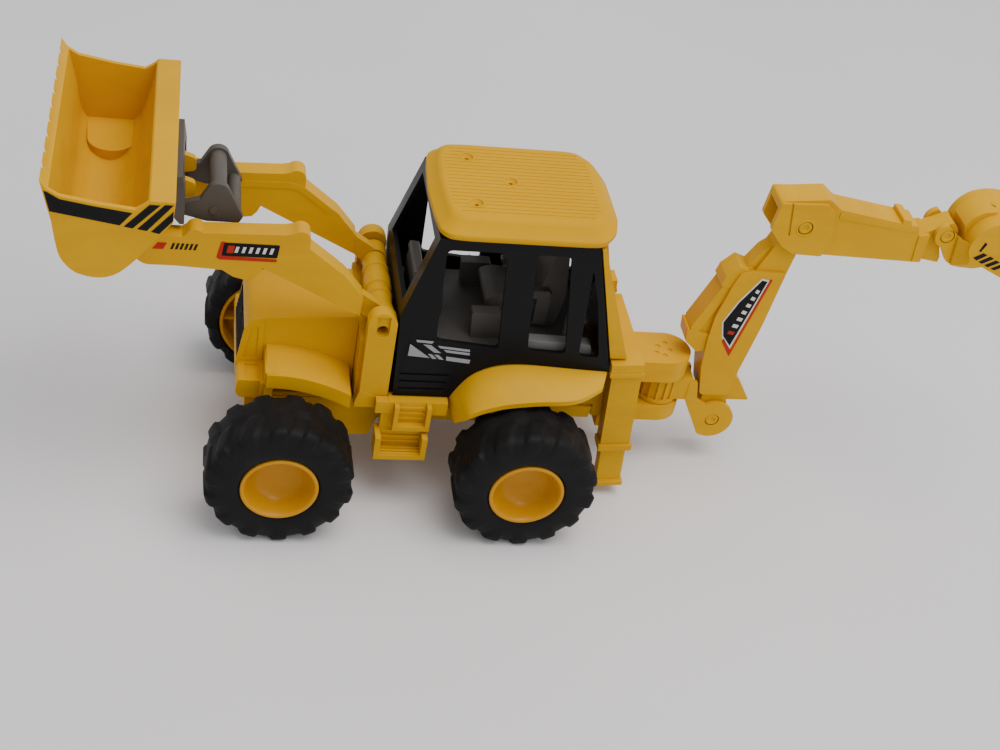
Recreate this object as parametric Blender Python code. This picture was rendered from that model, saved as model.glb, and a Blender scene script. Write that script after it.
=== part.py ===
"""Toy backhoe loader, a free-rolling plastic construction vehicle.

The machine faces +X, its left side is +Y and +Z is up. The origin lies on the
ground, midway between the front and rear ends. Outlines are written in
millimetres measured forward from the rear axle and up from the ground, and
every solid is turned into metres as it is built.
"""
import math

import bmesh
import bpy
from mathutils import Vector

MM = 0.001
CLEAR = 0.3

# Wheels
TYRE_RADIUS = 31.0
TYRE_INNER_Y = 41.5
TYRE_WIDTH = 27.5
LUG_COUNT = 14
LUG_DEPTH = 2.4
RIM_RADIUS = 16.0
AXLE_RADIUS = 2.0
BORE_RADIUS = AXLE_RADIUS + CLEAR
PIN_RADIUS = 2.6
PIN_BORE = PIN_RADIUS + CLEAR
WHEELBASE = 103.5
LUG_HALF_ANGLE = 2 * math.pi / LUG_COUNT / 4
AXLE_HEIGHT = TYRE_RADIUS * math.cos(LUG_HALF_ANGLE)

# Length and the place of the origin
FRONT_END_X = 196.7
REAR_END_X = -224.5
MIDDLE_X = (FRONT_END_X + REAR_END_X) / 2

# Body
CHASSIS_HALF = 27.0
CHASSIS_TOP = 46.0
HOOD_HALF = 17.2
FENDER_HALF = 36.0
CAB_HALF = 33.0
CAB_TOP_HALF = 30.5
CAB_TOP = 132.7
ROOF_HALF = 32.6
MAST_INNER_Y = 26.6
MAST_OUTER_Y = 32.5

# Front loader
LOADER_PIVOT = (64.5, 86.5)
ARM_INNER_Y = 18.2
ARM_OUTER_Y = 26.2
BUCKET_PIVOT = (158.0, 117.0)
BUCKET_HALF = 52.9
BUCKET_WALL = 2.0

# Backhoe
SWING_X = -70.3
PLATE_HALF = 11.2
BOOM_PIVOT = (-98.8, 24.3)
DIPPER_PIVOT = (-113.0, 133.2)
SCOOP_PIVOT = (-178.6, 133.2)
BOOM_HALF = 6.5
DIPPER_HALF = 6.5
TONGUE_HALF = 4.9
EAR_INNER = TONGUE_HALF + CLEAR
EAR_OUTER = 7.8
SCOOP_HALF = 14.0

# Stabilisers
LEG_TILT = math.radians(4.2)
LEG_TOP = (-42.5, 70.0)
SLEEVE_INNER_Y = 26.0
SLEEVE_OUTER_Y = 34.0

YELLOW = ((0.83, 0.50, 0.04), 0.38, 0.0)
BLACK = ((0.012, 0.011, 0.012), 0.35, 0.0)
GREY = ((0.10, 0.098, 0.096), 0.45, 0.0)
RUBBER = ((0.013, 0.013, 0.014), 0.8, 0.0)
STEEL = ((0.55, 0.55, 0.56), 0.3, 1.0)


# ---------------------------------------------------------------- solids

def lofted(first, y_first, second, y_second):
    """A solid between two side outlines (x, z) of equal corner count."""
    mesh = bmesh.new()
    a = [mesh.verts.new((x * MM, y_first * MM, z * MM)) for x, z in first]
    b = [mesh.verts.new((x * MM, y_second * MM, z * MM)) for x, z in second]
    count = len(a)
    mesh.faces.new(a)
    mesh.faces.new(b)
    for i in range(count):
        j = (i + 1) % count
        mesh.faces.new((a[i], a[j], b[j], b[i]))
    bmesh.ops.recalc_face_normals(mesh, faces=mesh.faces)
    return mesh


def prism(outline, y_low, y_high):
    """A solid with one side outline (x, z) from y_low to y_high."""
    return lofted(outline, y_low, outline, y_high)


def slab(plan, z_low, z_high, top_inset=0.0):
    """A solid with one plan outline (x, y); its top can draw in a little."""
    mesh = bmesh.new()
    cx = sum(x for x, _ in plan) / len(plan)
    cy = sum(y for _, y in plan) / len(plan)

    def pulled(value, centre):
        away = value - centre
        return value - math.copysign(min(top_inset, abs(away)), away)

    a = [mesh.verts.new((x * MM, y * MM, z_low * MM)) for x, y in plan]
    top = [(pulled(x, cx), pulled(y, cy)) for x, y in plan]
    b = [mesh.verts.new((x * MM, y * MM, z_high * MM)) for x, y in top]
    count = len(a)
    mesh.faces.new(a)
    mesh.faces.new(b)
    for i in range(count):
        j = (i + 1) % count
        mesh.faces.new((a[i], a[j], b[j], b[i]))
    bmesh.ops.recalc_face_normals(mesh, faces=mesh.faces)
    return mesh


def box(x, y, z):
    """A block given by its low and high x, y and z."""
    return prism([(x[0], z[0]), (x[1], z[0]), (x[1], z[1]), (x[0], z[1])], *y)


def turned(profile, centre, segments, axis="Y"):
    """A body turned about a line along Y or Z; corners are (radius, place)."""
    mesh = bmesh.new()
    rings = []
    for radius, place in profile:
        ring = []
        steps = 1 if radius < 1e-6 else segments
        for i in range(steps):
            angle = 2 * math.pi * (i + 0.5) / segments
            u = centre[0] + radius * math.cos(angle)
            v = centre[1] + radius * math.sin(angle)
            point = (u, place, v) if axis == "Y" else (u, v, place)
            ring.append(mesh.verts.new([c * MM for c in point]))
        rings.append(ring)
    closed = len(rings[0]) > 1
    pairs = list(zip(rings, rings[1:]))
    if closed:
        pairs.append((rings[-1], rings[0]))
    for a, b in pairs:
        for i in range(segments):
            j = (i + 1) % segments
            corners = [a[i % len(a)], a[j % len(a)], b[j % len(b)], b[i % len(b)]]
            corners = list(dict.fromkeys(corners))
            if len(corners) > 2:
                mesh.faces.new(corners)
    bmesh.ops.recalc_face_normals(mesh, faces=mesh.faces)
    return mesh


def rod(centre, radius, y_low, y_high, segments=20):
    """A round bar along Y."""
    profile = [(0, y_low), (radius, y_low), (radius, y_high), (0, y_high)]
    return turned(profile, centre, segments)


def post(centre, radius, z_low, z_high, segments=20):
    """A round bar along Z."""
    profile = [(0, z_low), (radius, z_low), (radius, z_high), (0, z_high)]
    return turned(profile, centre, segments, "Z")


def arc(centre, radius, start, end, steps):
    """Corners of an arc, angles in degrees, both ends included."""
    angles = [math.radians(start + (end - start) * i / steps) for i in range(steps + 1)]
    return [
        (centre[0] + radius * math.cos(a), centre[1] + radius * math.sin(a))
        for a in angles
    ]


def scratch(mesh):
    """A temporary object that holds one solid for a Boolean."""
    data = bpy.data.meshes.new("scratch")
    mesh.to_mesh(data)
    mesh.free()
    thing = bpy.data.objects.new("scratch", data)
    thing.hide_render = True
    thing.display_type = "WIRE"
    bpy.context.scene.collection.objects.link(thing)
    return thing


def combined(operation, base, tools):
    """The base with each tool in turn joined to it or cut from it."""
    for tool in tools:
        body = scratch(base)
        other = scratch(tool)
        step = body.modifiers.new("step", "BOOLEAN")
        step.operation = operation
        step.solver = "EXACT"
        step.object = other
        graph = bpy.context.evaluated_depsgraph_get()
        base = bmesh.new()
        base.from_mesh(body.evaluated_get(graph).data)
        for thing in (body, other):
            data = thing.data
            bpy.data.objects.remove(thing)
            bpy.data.meshes.remove(data)
        bmesh.ops.remove_doubles(base, verts=base.verts, dist=0.00001)
        edges = list(base.edges)
        flat = math.radians(0.2)
        bmesh.ops.dissolve_limit(base, angle_limit=flat, verts=base.verts, edges=edges)
    return base


def joined(base, *tools):
    return combined("UNION", base, tools)


def cut(base, *tools):
    return combined("DIFFERENCE", base, tools)


def side_range(side, inner, outer):
    """The y range of a left (+1) or right (-1) copy, lowest first."""
    return sorted((side * inner, side * outer))


# ---------------------------------------------------------------- objects

def clear_scene():
    for thing in list(bpy.data.objects):
        bpy.data.objects.remove(thing)


def material(name, look):
    colour, roughness, metallic = look
    made = bpy.data.materials.new(name)
    made.use_nodes = True
    shader = made.node_tree.nodes["Principled BSDF"]
    shader.inputs["Base Color"].default_value = (*colour, 1.0)
    shader.inputs["Roughness"].default_value = roughness
    shader.inputs["Metallic"].default_value = metallic
    return made


def pivot(name, place, parent=None):
    """An empty on a joint's axis; place is x, y, z in millimetres."""
    made = bpy.data.objects.new(name, None)
    made.empty_display_size = 0.01
    bpy.context.scene.collection.objects.link(made)
    made["place"] = place
    offset = Vector(place) * MM
    if parent:
        made.parent = parent
        offset -= Vector(parent["place"]) * MM
    made.location = offset
    return made


def piece(name, mesh, look, holder):
    """Turn a solid into a named object held by the empty of its body."""
    shift = -Vector(holder["place"]) * MM
    bmesh.ops.translate(mesh, vec=shift, verts=mesh.verts)
    data = bpy.data.meshes.new(name)
    mesh.to_mesh(data)
    mesh.free()
    data.shade_smooth()
    data.set_sharp_from_angle(angle=math.radians(32))
    data.materials.append(material(name + "_plastic", look))
    thing = bpy.data.objects.new(name, data)
    thing.parent = holder
    bpy.context.scene.collection.objects.link(thing)
    return thing


# ---------------------------------------------------------------- wheels

def tyre_mesh(x, side):
    """A chunky tyre: lugs alternate between its outer and inner half."""
    half = TYRE_WIDTH / 2
    groove = TYRE_RADIUS - LUG_DEPTH
    profile = [
        (14.9, 8.2), (16.3, 9.0), (16.3, half - 1.6), (20.0, half), (26.4, half),
        (groove + 1.2, half - 1.8), (groove + 1.2, 0.8),
        (groove + 1.2, -0.8), (groove + 1.2, 1.8 - half),
        (26.4, -half), (20.0, -half), (16.3, 1.6 - half), (16.3, -9.0), (14.9, -8.2),
    ]
    outer_lug = (5, 6)
    inner_lug = (7, 8)
    middle = side * (TYRE_INNER_Y + half)
    pitch = 2 * math.pi / LUG_COUNT
    wall = pitch * 0.05
    mesh = bmesh.new()
    rings = []
    for lug in range(LUG_COUNT):
        centre = lug * pitch - math.pi / 2
        edges = [
            (centre - LUG_HALF_ANGLE, outer_lug),
            (centre + LUG_HALF_ANGLE, outer_lug),
            (centre + LUG_HALF_ANGLE + wall, inner_lug),
            (centre + pitch - LUG_HALF_ANGLE - wall, inner_lug),
        ]
        for angle, raised in edges:
            ring = []
            for i, (radius, place) in enumerate(profile):
                if i in outer_lug + inner_lug:
                    radius = TYRE_RADIUS if i in raised else groove
                point = (
                    x + radius * math.cos(angle),
                    middle + side * place,
                    AXLE_HEIGHT + radius * math.sin(angle),
                )
                ring.append(mesh.verts.new([c * MM for c in point]))
            rings.append(ring)
    for a, b in zip(rings, rings[1:] + rings[:1]):
        for i in range(len(profile)):
            j = (i + 1) % len(profile)
            mesh.faces.new((a[i], a[j], b[j], b[i]))
    bmesh.ops.recalc_face_normals(mesh, faces=mesh.faces)
    return mesh


def rim_mesh(x, side):
    """A dished rim with a blind hub that takes the axle from inboard."""
    middle = side * (TYRE_INNER_Y + TYRE_WIDTH / 2)
    profile = [
        (0, 9.0), (3.4, 9.0), (4.2, 5.6), (11.5, 5.0), (14.4, 13.0), (RIM_RADIUS, 13.0),
        (RIM_RADIUS, 9.2), (14.6, 8.4), (14.6, -8.4), (RIM_RADIUS, -9.2),
        (RIM_RADIUS, -12.4), (14.2, -12.4), (11.2, 2.6), (4.6, 2.6), (4.6, -12.8),
        (BORE_RADIUS, -12.8), (BORE_RADIUS, 5.5), (0, 5.5),
    ]
    placed = [(radius, middle + side * place) for radius, place in profile]
    return turned(placed, (x, AXLE_HEIGHT), 20)


def make_wheels(holder, label, x):
    reach = TYRE_INNER_Y + TYRE_WIDTH / 2 + 5.0
    axle = rod((x, AXLE_HEIGHT), AXLE_RADIUS, -reach, reach, 16)
    piece(label + "_axle", axle, STEEL, holder)
    for side, name in ((1, "left"), (-1, "right")):
        piece(f"{label}_{name}_rim", rim_mesh(x, side), YELLOW, holder)
        piece(f"{label}_{name}_tyre", tyre_mesh(x, side), RUBBER, holder)


# ---------------------------------------------------------------- lower body

CHASSIS_WALL = 2.5
FRONT_FLOOR = 26.0
REAR_FLOOR = 40.0
SCREW_LENGTH = 7.0
FRONT_SCREWS = ((84.0, 16.0), (84.0, -16.0))
REAR_SCREWS = ((-20.0, 16.0), (-20.0, -16.0))


def chassis_outline():
    """A shallow belly that drops into a box around each axle."""
    return [
        (-33.0, REAR_FLOOR), (-12.5, REAR_FLOOR), (-11.0, 22.0), (11.0, 22.0), (13.0, 36.0),
        (61.0, 36.0), (64.0, FRONT_FLOOR), (93.0, FRONT_FLOOR), (94.5, 22.0), (112.5, 22.0),
        (118.0, 27.0), (118.0, CHASSIS_TOP), (-33.0, CHASSIS_TOP),
    ]


def screw_holes(floor, places):
    """Countersunk seats and clearance holes for the screws under the body."""
    seats = [post(p, 3.4, floor - 1, floor + 1.4, 12) for p in places]
    holes = [post(p, 1.6, floor, floor + SCREW_LENGTH + 1, 12) for p in places]
    return seats + holes


def make_chassis(holder):
    """An open tray with the axle bearings in its side walls."""
    outline = chassis_outline()
    tray = prism(outline, -CHASSIS_HALF, CHASSIS_HALF)
    inner = drawn_in(outline, CHASSIS_WALL)
    inner[-2:] = [(x, CHASSIS_TOP + 5) for x, z in inner[-2:]]
    pocket = prism(inner, CHASSIS_WALL - CHASSIS_HALF, CHASSIS_HALF - CHASSIS_WALL)
    bores = [
        rod((x, AXLE_HEIGHT), BORE_RADIUS, -40, 40, 16) for x in (0.0, WHEELBASE)
    ]
    holes = screw_holes(FRONT_FLOOR, FRONT_SCREWS) + screw_holes(REAR_FLOOR, REAR_SCREWS)
    piece("chassis", cut(tray, pocket, *bores, *holes), YELLOW, holder)


def make_screws(holder):
    places = [(p, FRONT_FLOOR) for p in FRONT_SCREWS] + [(p, REAR_FLOOR) for p in REAR_SCREWS]
    for i, (place, floor) in enumerate(places, 1):
        head, under, tip = floor + 0.1, floor + 1.1, floor + SCREW_LENGTH
        profile = [(0, head), (3.0, head), (3.0, under), (1.3, under), (1.3, tip), (0, tip)]
        piece(f"chassis_screw_{i}", turned(profile, place, 12, "Z"), STEEL, holder)


def screw_boss(place, floor):
    """A post that hangs from an upper body part and takes a chassis screw."""
    return post(place, 3.4, floor + CHASSIS_WALL + CLEAR, CHASSIS_TOP + 3, 12)


def fender_outline(drop):
    """The front fender's side view, a curved strip that falls to the rear."""
    top = [(110.0, 66.4), (103.0, 66.2), (96.0, 65.2), (88.0, 63.0), (74.6, 57.2)]
    strip = [(x, z - drop) for x, z in top]
    return strip + [(x, z - 3.2) for x, z in reversed(strip)]


def make_hood(holder):
    """Hood, nose, bumper and front fenders, one hollow moulding."""
    floor = CHASSIS_TOP + CLEAR
    shape = [
        (72.6, floor), (72.6, 82.2), (112.0, 79.4), (117.4, 77.6), (118.8, 74.0),
        (121.6, 56.2), (122.4, 55.4), (122.4, floor),
    ]
    hood = prism(shape, -HOOD_HALF, HOOD_HALF)
    bumper = box((109.0, 122.0), (-30.0, 30.0), (floor + 0.6, 56.4))
    fenders = []
    for side in (1, -1):
        inner, outer = side * (HOOD_HALF - 3.0), side * FENDER_HALF
        fenders.append(lofted(fender_outline(0), inner, fender_outline(2.6), outer))
    hollow = [
        (75.0, floor - 5), (75.0, 79.6), (108.0, 77.2), (110.0, 74.0), (110.0, floor - 5),
    ]
    pocket = prism(hollow, 2.4 - HOOD_HALF, HOOD_HALF - 2.4)
    recess = prism(grille_outline(-CLEAR, 4.0), -13.3, 13.3)
    hood = cut(joined(hood, bumper, *fenders), pocket, recess)
    ribs = [box((82.8, 85.2), side_range(s, 14.0, 15.6), (48.0, 60.0)) for s in (1, -1)]
    bosses = [screw_boss(p, FRONT_FLOOR) for p in FRONT_SCREWS]
    hood = cut(joined(hood, *ribs, *bosses), *screw_holes(FRONT_FLOOR, FRONT_SCREWS))
    piece("hood", hood, YELLOW, holder)


def grille_outline(inset, depth):
    """A leaning plate in the nose, drawn in by inset all round."""
    low, high = (121.3, 58.0), (119.1, 72.0)
    back = 1.8 + (-inset)
    return [
        (low[0] - back, low[1] + inset), (low[0] + depth, low[1] + inset),
        (high[0] + depth, high[1] - inset), (high[0] - back, high[1] - inset),
    ]


def make_grille(holder):
    plate = prism(grille_outline(0, -0.2), -13.0, 13.0)
    slats = []
    for i in range(5):
        z = 60.2 + 2.5 * i
        x = 121.3 - (z - 58.0) * 2.2 / 14.0
        slats.append(box((x - 1.2, x + 0.5), (-11.8, 11.8), (z - 0.5, z + 0.5)))
    piece("grille", joined(plate, *slats), BLACK, holder)


def make_mast(holder):
    """Two loader towers joined by a bulkhead between the hood and the cab."""
    floor = CHASSIS_TOP + CLEAR
    top, low_x, high_x, corner = 95.4, 58.8, 70.8, 3.0
    outline = [(high_x, floor), (high_x, top - corner)]
    outline += arc((high_x - corner, top - corner), corner, 30, 90, 2)
    outline += arc((low_x + corner, top - corner), corner, 90, 150, 2)
    outline += [(low_x, top - corner), (low_x, floor)]
    towers = [prism(outline, *side_range(s, MAST_INNER_Y, MAST_OUTER_Y)) for s in (1, -1)]
    bulkhead = box((61.4, 72.2), (-MAST_INNER_Y - 1, MAST_INNER_Y + 1), (floor + 0.4, 78.0))
    bore = rod(LOADER_PIVOT, BORE_RADIUS, -40, 40, 16)
    piece("loader_mast", cut(joined(bulkhead, *towers), bore), YELLOW, holder)


def make_steps(holder):
    """The sill and the two-tier step that hangs from it on each side."""
    for side, name in ((1, "left"), (-1, "right")):
        sill = box((33.2, 58.4), side_range(side, 30.4, 37.0), (46.6, 53.2))
        ledge = box((50.0, 63.8), side_range(side, 32.9, 37.0), (46.9, 53.0))
        upper = box((40.2, 56.0), side_range(side, 35.0, 40.2), (40.0, 52.6))
        lower = box((40.6, 63.0), side_range(side, 33.4, 43.4), (26.4, 38.2))
        drop = box((42.0, 61.0), side_range(side, 33.0, 36.4), (30.0, 49.0))
        upper_room = box((42.2, 54.0), side_range(side, 36.8, 48.0), (42.2, 60.0))
        lower_room = box((43.0, 60.6), side_range(side, 36.8, 48.0), (28.8, 60.0))
        solid = joined(sill, ledge, upper, drop, lower)
        cutter_top = box((43.0, 60.6), side_range(side, 40.5, 48.0), (28.8, 60.0))
        solid = cut(solid, upper_room, cutter_top, clipped_room(lower_room))
        piece(f"side_step_{name}", solid, YELLOW, holder)


def clipped_room(room):
    """The lower step's room, kept below the upper step."""
    for vert in room.verts:
        vert.co.z = min(vert.co.z, 39.2 * MM)
    return room


# ---------------------------------------------------------------- cab

def fender_line():
    """Where the cab's side meets the rear fender, front to rear."""
    return [
        (32.6, 53.8), (28.6, 61.5), (23.5, 67.6), (14.5, 72.0), (3.0, 73.2),
        (-17.0, 71.9), (-34.6, 70.6),
    ]


def cab_outline():
    rear_top, front_top = (-18.8, CAB_TOP), (46.8, CAB_TOP)
    return [front_top, (58.2, 95.5), (56.8, 53.8)] + fender_line() + [rear_top]


def drawn_in(outline, amount):
    """The outline with each edge moved inwards by amount."""
    count = len(outline)
    area = sum(
        outline[i][0] * outline[(i + 1) % count][1]
        - outline[(i + 1) % count][0] * outline[i][1]
        for i in range(count)
    )
    turn = 1.0 if area > 0 else -1.0
    moved = []
    for i in range(count):
        before = Vector(outline[i - 1])
        here = Vector(outline[i])
        after = Vector(outline[(i + 1) % count])
        one = (here - before).normalized()
        two = (after - here).normalized()
        normal_one = Vector((-one.y, one.x)) * turn
        normal_two = Vector((-two.y, two.x)) * turn
        bisector = (normal_one + normal_two).normalized()
        reach = amount / max(0.3, bisector.dot(normal_one))
        moved.append(tuple(here + bisector * reach))
    return moved


def narrowed(mesh):
    """Lean the cab's sides in towards the roof."""
    start = 80.0 * MM
    end = CAB_TOP * MM
    for vert in mesh.verts:
        share = max(0.0, (vert.co.z - start) / (end - start))
        vert.co.y *= 1 + share * (CAB_TOP_HALF / CAB_HALF - 1)
    return mesh


def make_cab_shell(holder):
    """A black shell, open below, with its window openings."""
    outer = cab_outline()
    inner = drawn_in(outer, 2.0)
    lowered = [(x, z - 12 if z < 78 else z) for x, z in inner]
    shell = prism(outer, -CAB_HALF, CAB_HALF)
    room = prism(lowered, 2 - CAB_HALF, CAB_HALF - 2)
    front = [(43.0, 128.6), (42.2, 83.8), (15.4, 80.8), (18.8, 128.6)]
    rear = [(6.6, 128.6), (3.0, 80.6), (-13.6, 79.6), (-7.6, 128.6)]
    quarter = [(-19.4, 78.8), (-28.4, 78.2), (-22.2, 108.0), (-17.8, 122.0)]
    windows = [prism(w, -40, 40) for w in (front, rear, quarter)]
    screen = [(70.0, 98.4), (55.0, 98.4), (45.4, 128.8), (70.0, 128.8)]
    back = [(-50.0, 84.0), (-29.0, 84.0), (-17.5, 128.4), (-50.0, 128.4)]
    openings = [prism(screen, -26, 26), prism(back, -25, 25)]
    shell = cut(shell, room, *windows, *openings)
    piece("cab_shell", narrowed(shell), BLACK, holder)


def make_roof(holder):
    low = CAB_TOP + CLEAR
    half = ROOF_HALF
    plan = [
        (49.2, -half + 6), (49.2, half - 6), (44.0, half), (-21.0, half),
        (-29.4, half - 7), (-29.4, 7 - half), (-21.0, -half), (44.0, -half),
    ]
    flange = slab(plan, low, low + 3.0)
    top = [(x * 0.95 + 0.5, y * 0.93) for x, y in plan]
    dome = slab(top, low + 1.0, low + 9.0, 6.0)
    piece("cab_roof", joined(flange, dome), YELLOW, holder)


def make_interior(holder):
    """The grey floor with the dashboard and console, and the seat on it."""
    floor = box((-27.0, 52.0), (-28.0, 28.0), (74.6, 77.0))
    dash = prism([(44.0, 76.0), (51.4, 76.0), (52.2, 95.0), (50.6, 103.0), (46.6, 102.0)], -11, 11)
    column = prism([(34.5, 76.0), (38.5, 76.0), (38.5, 90.0), (33.0, 88.0)], -2.5, 2.5)
    column_foot = box((33.0, 45.0), (-2.5, 2.5), (76.0, 82.0))
    rails = [box((-26.0, 6.0), side_range(s, 24.0, 28.0), (76.0, 82.0)) for s in (1, -1)]
    frame = joined(floor, dash, column_foot, column, *rails)
    piece("cab_interior", frame, GREY, holder)
    seat = [
        (-12.0, 77.4), (17.0, 77.4), (19.5, 86.0), (20.5, 92.0), (-2.0, 89.0), (-4.0, 96.0),
        (-8.0, 116.0), (-13.0, 116.0), (-15.0, 95.0),
    ]
    cushion = prism(seat, -10, 10)
    arms = [box((-6.0, 12.0), side_range(s, 9.0, 12.4), (92.0, 95.6)) for s in (1, -1)]
    props = [box((-8.0, -2.0), side_range(s, 9.0, 12.0), (80.0, 95.0)) for s in (1, -1)]
    piece("driver_seat", joined(cushion, *props, *arms), GREY, holder)


def make_rear_fenders(holder):
    """Curved wings over the rear wheels, wider in the middle than the tips."""
    inner = [(x, z - CLEAR) for x, z in fender_line()]
    lip = [
        (28.0, 46.0, 53.4), (26.0, 49.0, 57.6), (20.0, 49.4, 61.0), (11.0, 49.4, 64.0),
        (-1.4, 49.2, 65.8), (-15.0, 48.4, 66.6), (-27.0, 44.0, 66.4),
    ]
    for side, name in ((1, "left"), (-1, "right")):
        mesh = bmesh.new()
        rows = []
        for (x0, z0), (x1, y1, z1) in zip(inner, lip):
            top, under = [], []
            for share in (0.0, 0.35, 0.7, 1.0):
                rise = 1.8 * math.sin(math.pi * share)
                x = x0 + (x1 - x0) * share
                y = 30.4 + (y1 - 30.4) * share
                z = z0 + (z1 - z0) * share + rise
                top.append((x, side * y, z))
                under.append((x, side * y, z - 2.2))
            ring = top + under[::-1]
            rows.append([mesh.verts.new([c * MM for c in p]) for p in ring])
        for a, b in zip(rows, rows[1:]):
            for i in range(len(a)):
                j = (i + 1) % len(a)
                mesh.faces.new((a[i], a[j], b[j], b[i]))
        mesh.faces.new(rows[0])
        mesh.faces.new(rows[-1])
        bmesh.ops.recalc_face_normals(mesh, faces=mesh.faces)
        piece(f"rear_fender_{name}", mesh, YELLOW, holder)


# ---------------------------------------------------------------- rear body

def make_rear_body(holder):
    """Cab floor, slanted back panel and the two plates of the swing mount."""
    floor = CHASSIS_TOP + CLEAR
    deck = box((-50.0, 56.0), (-25.6, 25.6), (floor, 51.0))
    tail = box((-52.0, -33.6), (-25.6, 25.6), (REAR_FLOOR, 70.0))
    keel = box((-52.0, -41.0), (-14.0, 14.0), (24.0, REAR_FLOOR + 1))
    panel = prism([(-37.7, 60.0), (-48.0, 60.0), (-21.6, 131.6), (-19.5, 131.6)], -25.6, 25.6)
    cheek = [(-34.0, 77.0), (-42.4, 77.0), (-21.4, 132.0), (-19.5, 132.0)]
    cheeks = [prism(cheek, *side_range(s, 24.0, 31.4)) for s in (1, -1)]
    plates = []
    for low, high in ((48.4, 59.6), (26.0, 34.2)):
        plan = [(-50.0, -PLATE_HALF)]
        plan += arc((SWING_X, 0.0), PLATE_HALF, 270, 90, 10)
        plan += [(-50.0, PLATE_HALF)]
        plates.append(slab(plan, low, high))
    block = box((-51.2, -43.0), (-17.0, -10.8), (58.0, 73.0))
    bore = post((SWING_X, 0.0), BORE_RADIUS, 24.0, 57.0, 16)
    bosses = [screw_boss(p, REAR_FLOOR) for p in REAR_SCREWS]
    body = joined(tail, keel, deck, panel, *cheeks, *plates, block, *bosses)
    body = cut(body, bore, *screw_holes(REAR_FLOOR, REAR_SCREWS))
    piece("rear_body", body, YELLOW, holder)


def leaned(mesh):
    """Lean an upright stabiliser part about its top."""
    x0, z0 = LEG_TOP[0] * MM, LEG_TOP[1] * MM
    for vert in mesh.verts:
        x, z = vert.co.x - x0, vert.co.z - z0
        vert.co.x = x0 + x * math.cos(LEG_TILT) + z * math.sin(LEG_TILT)
        vert.co.z = z0 - x * math.sin(LEG_TILT) + z * math.cos(LEG_TILT)
    return mesh


def make_stabilisers(holder, legs):
    """On each side, a square sleeve with a foot that slides inside it."""
    x, z = LEG_TOP
    for side, name in ((1, "left"), (-1, "right")):
        inner, outer = SLEEVE_INNER_Y, SLEEVE_OUTER_Y
        body = box((x - 6.75, x + 6.75), side_range(side, inner, outer), (z - 40.0, z + 1))
        cap = box((x - 6.5, x + 7.2), side_range(side, inner + 0.2, outer + 0.8), (z, z + 6.2))
        ring_y = side_range(side, inner + 0.1, outer + 0.9)
        ring = box((x - 7.6, x + 7.6), ring_y, (z - 42.6, z - 39.4))
        room = box((x - 5.3, x + 5.3), side_range(side, inner + 1.4, outer - 1.4), (z - 50, z - 3))
        sleeve = cut(joined(body, cap, ring), room)
        piece(f"stabiliser_sleeve_{name}", leaned(sleeve), YELLOW, holder)
        bar_y = side_range(side, inner + 1.8, outer - 1.8)
        foot_y = side_range(side, inner + 0.2, outer + 0.2)
        bar = box((x - 4.9, x + 4.9), bar_y, (z - 63.0, z - 18.0))
        foot = box((x - 6.6, x + 6.6), foot_y, (z - 64.6, z - 62.0))
        piece(f"stabiliser_leg_{name}", leaned(joined(bar, foot)), YELLOW, legs[side])


# ---------------------------------------------------------------- loader

def arm_outline():
    """The loader arm's plate, from its rear end round to its underside."""
    rear = [(73.4, 98.6), (82.0, 109.3), (96.9, 121.4), (96.9, 126.2)]
    elbow = arc((100.7, 125.2), 4.0, 150, 40, 4)
    ridge = [(106.0, 127.3), (137.6, 126.2)]
    knuckle = arc((141.3, 124.0), 3.6, 140, 20, 4)
    tip = [(146.0, 123.9)] + arc(BUCKET_PIVOT, 7.0, 90, -80, 7)
    under = [(149.0, 110.2), (130.4, 109.2), (126.0, 106.0), (118.5, 105.4), (115.9, 108.0),
             (114.9, 111.1), (73.9, 89.5)]
    return rear + elbow + ridge + knuckle + tip + under


def make_arms(holder):
    for side, name in ((1, "left"), (-1, "right")):
        plate = prism(arm_outline(), *side_range(side, ARM_INNER_Y, ARM_OUTER_Y))
        eye = rod(LOADER_PIVOT, 5.7, *side_range(side, ARM_INNER_Y, ARM_OUTER_Y - 0.4), 20)
        x, z = LOADER_PIVOT
        neck_outline = [
            (x, z + 5.6), (73.5, 98.2), (77.0, 101.0), (77.0, 92.2), (x + 5, z - 1), (x, z - 5.4),
        ]
        neck = prism(neck_outline, *side_range(side, ARM_INNER_Y + 0.4, ARM_OUTER_Y - 3.4))
        bores = [rod(p, BORE_RADIUS, -40, 40, 16) for p in (LOADER_PIVOT, BUCKET_PIVOT)]
        piece(f"loader_arm_{name}", cut(joined(plate, neck, eye), *bores), YELLOW, holder)
    end = ARM_INNER_Y - CLEAR
    profile = [
        (BORE_RADIUS, -end), (5.2, -end), (5.2, -4.2), (5.9, -4.0), (5.9, 4.0), (5.2, 4.2),
        (5.2, end), (BORE_RADIUS, end),
    ]
    piece("loader_cross_tube", turned(profile, LOADER_PIVOT, 20), YELLOW, holder)


def bucket_outline():
    """The loader bucket's outer side view, starting at the cutting edge."""
    return [
        (FRONT_END_X, 163.2), (192.8, 146.0), (190.4, 131.0), (185.8, 125.0), (181.4, 122.7),
        (176.5, 122.1), (172.6, 122.8), (168.6, 125.2), (163.0, 130.9), (157.3, 138.6),
        (149.9, 148.2), (149.2, 157.0), (158.5, 156.9), (163.0, 152.7), (191.5, 157.4),
    ]


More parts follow.
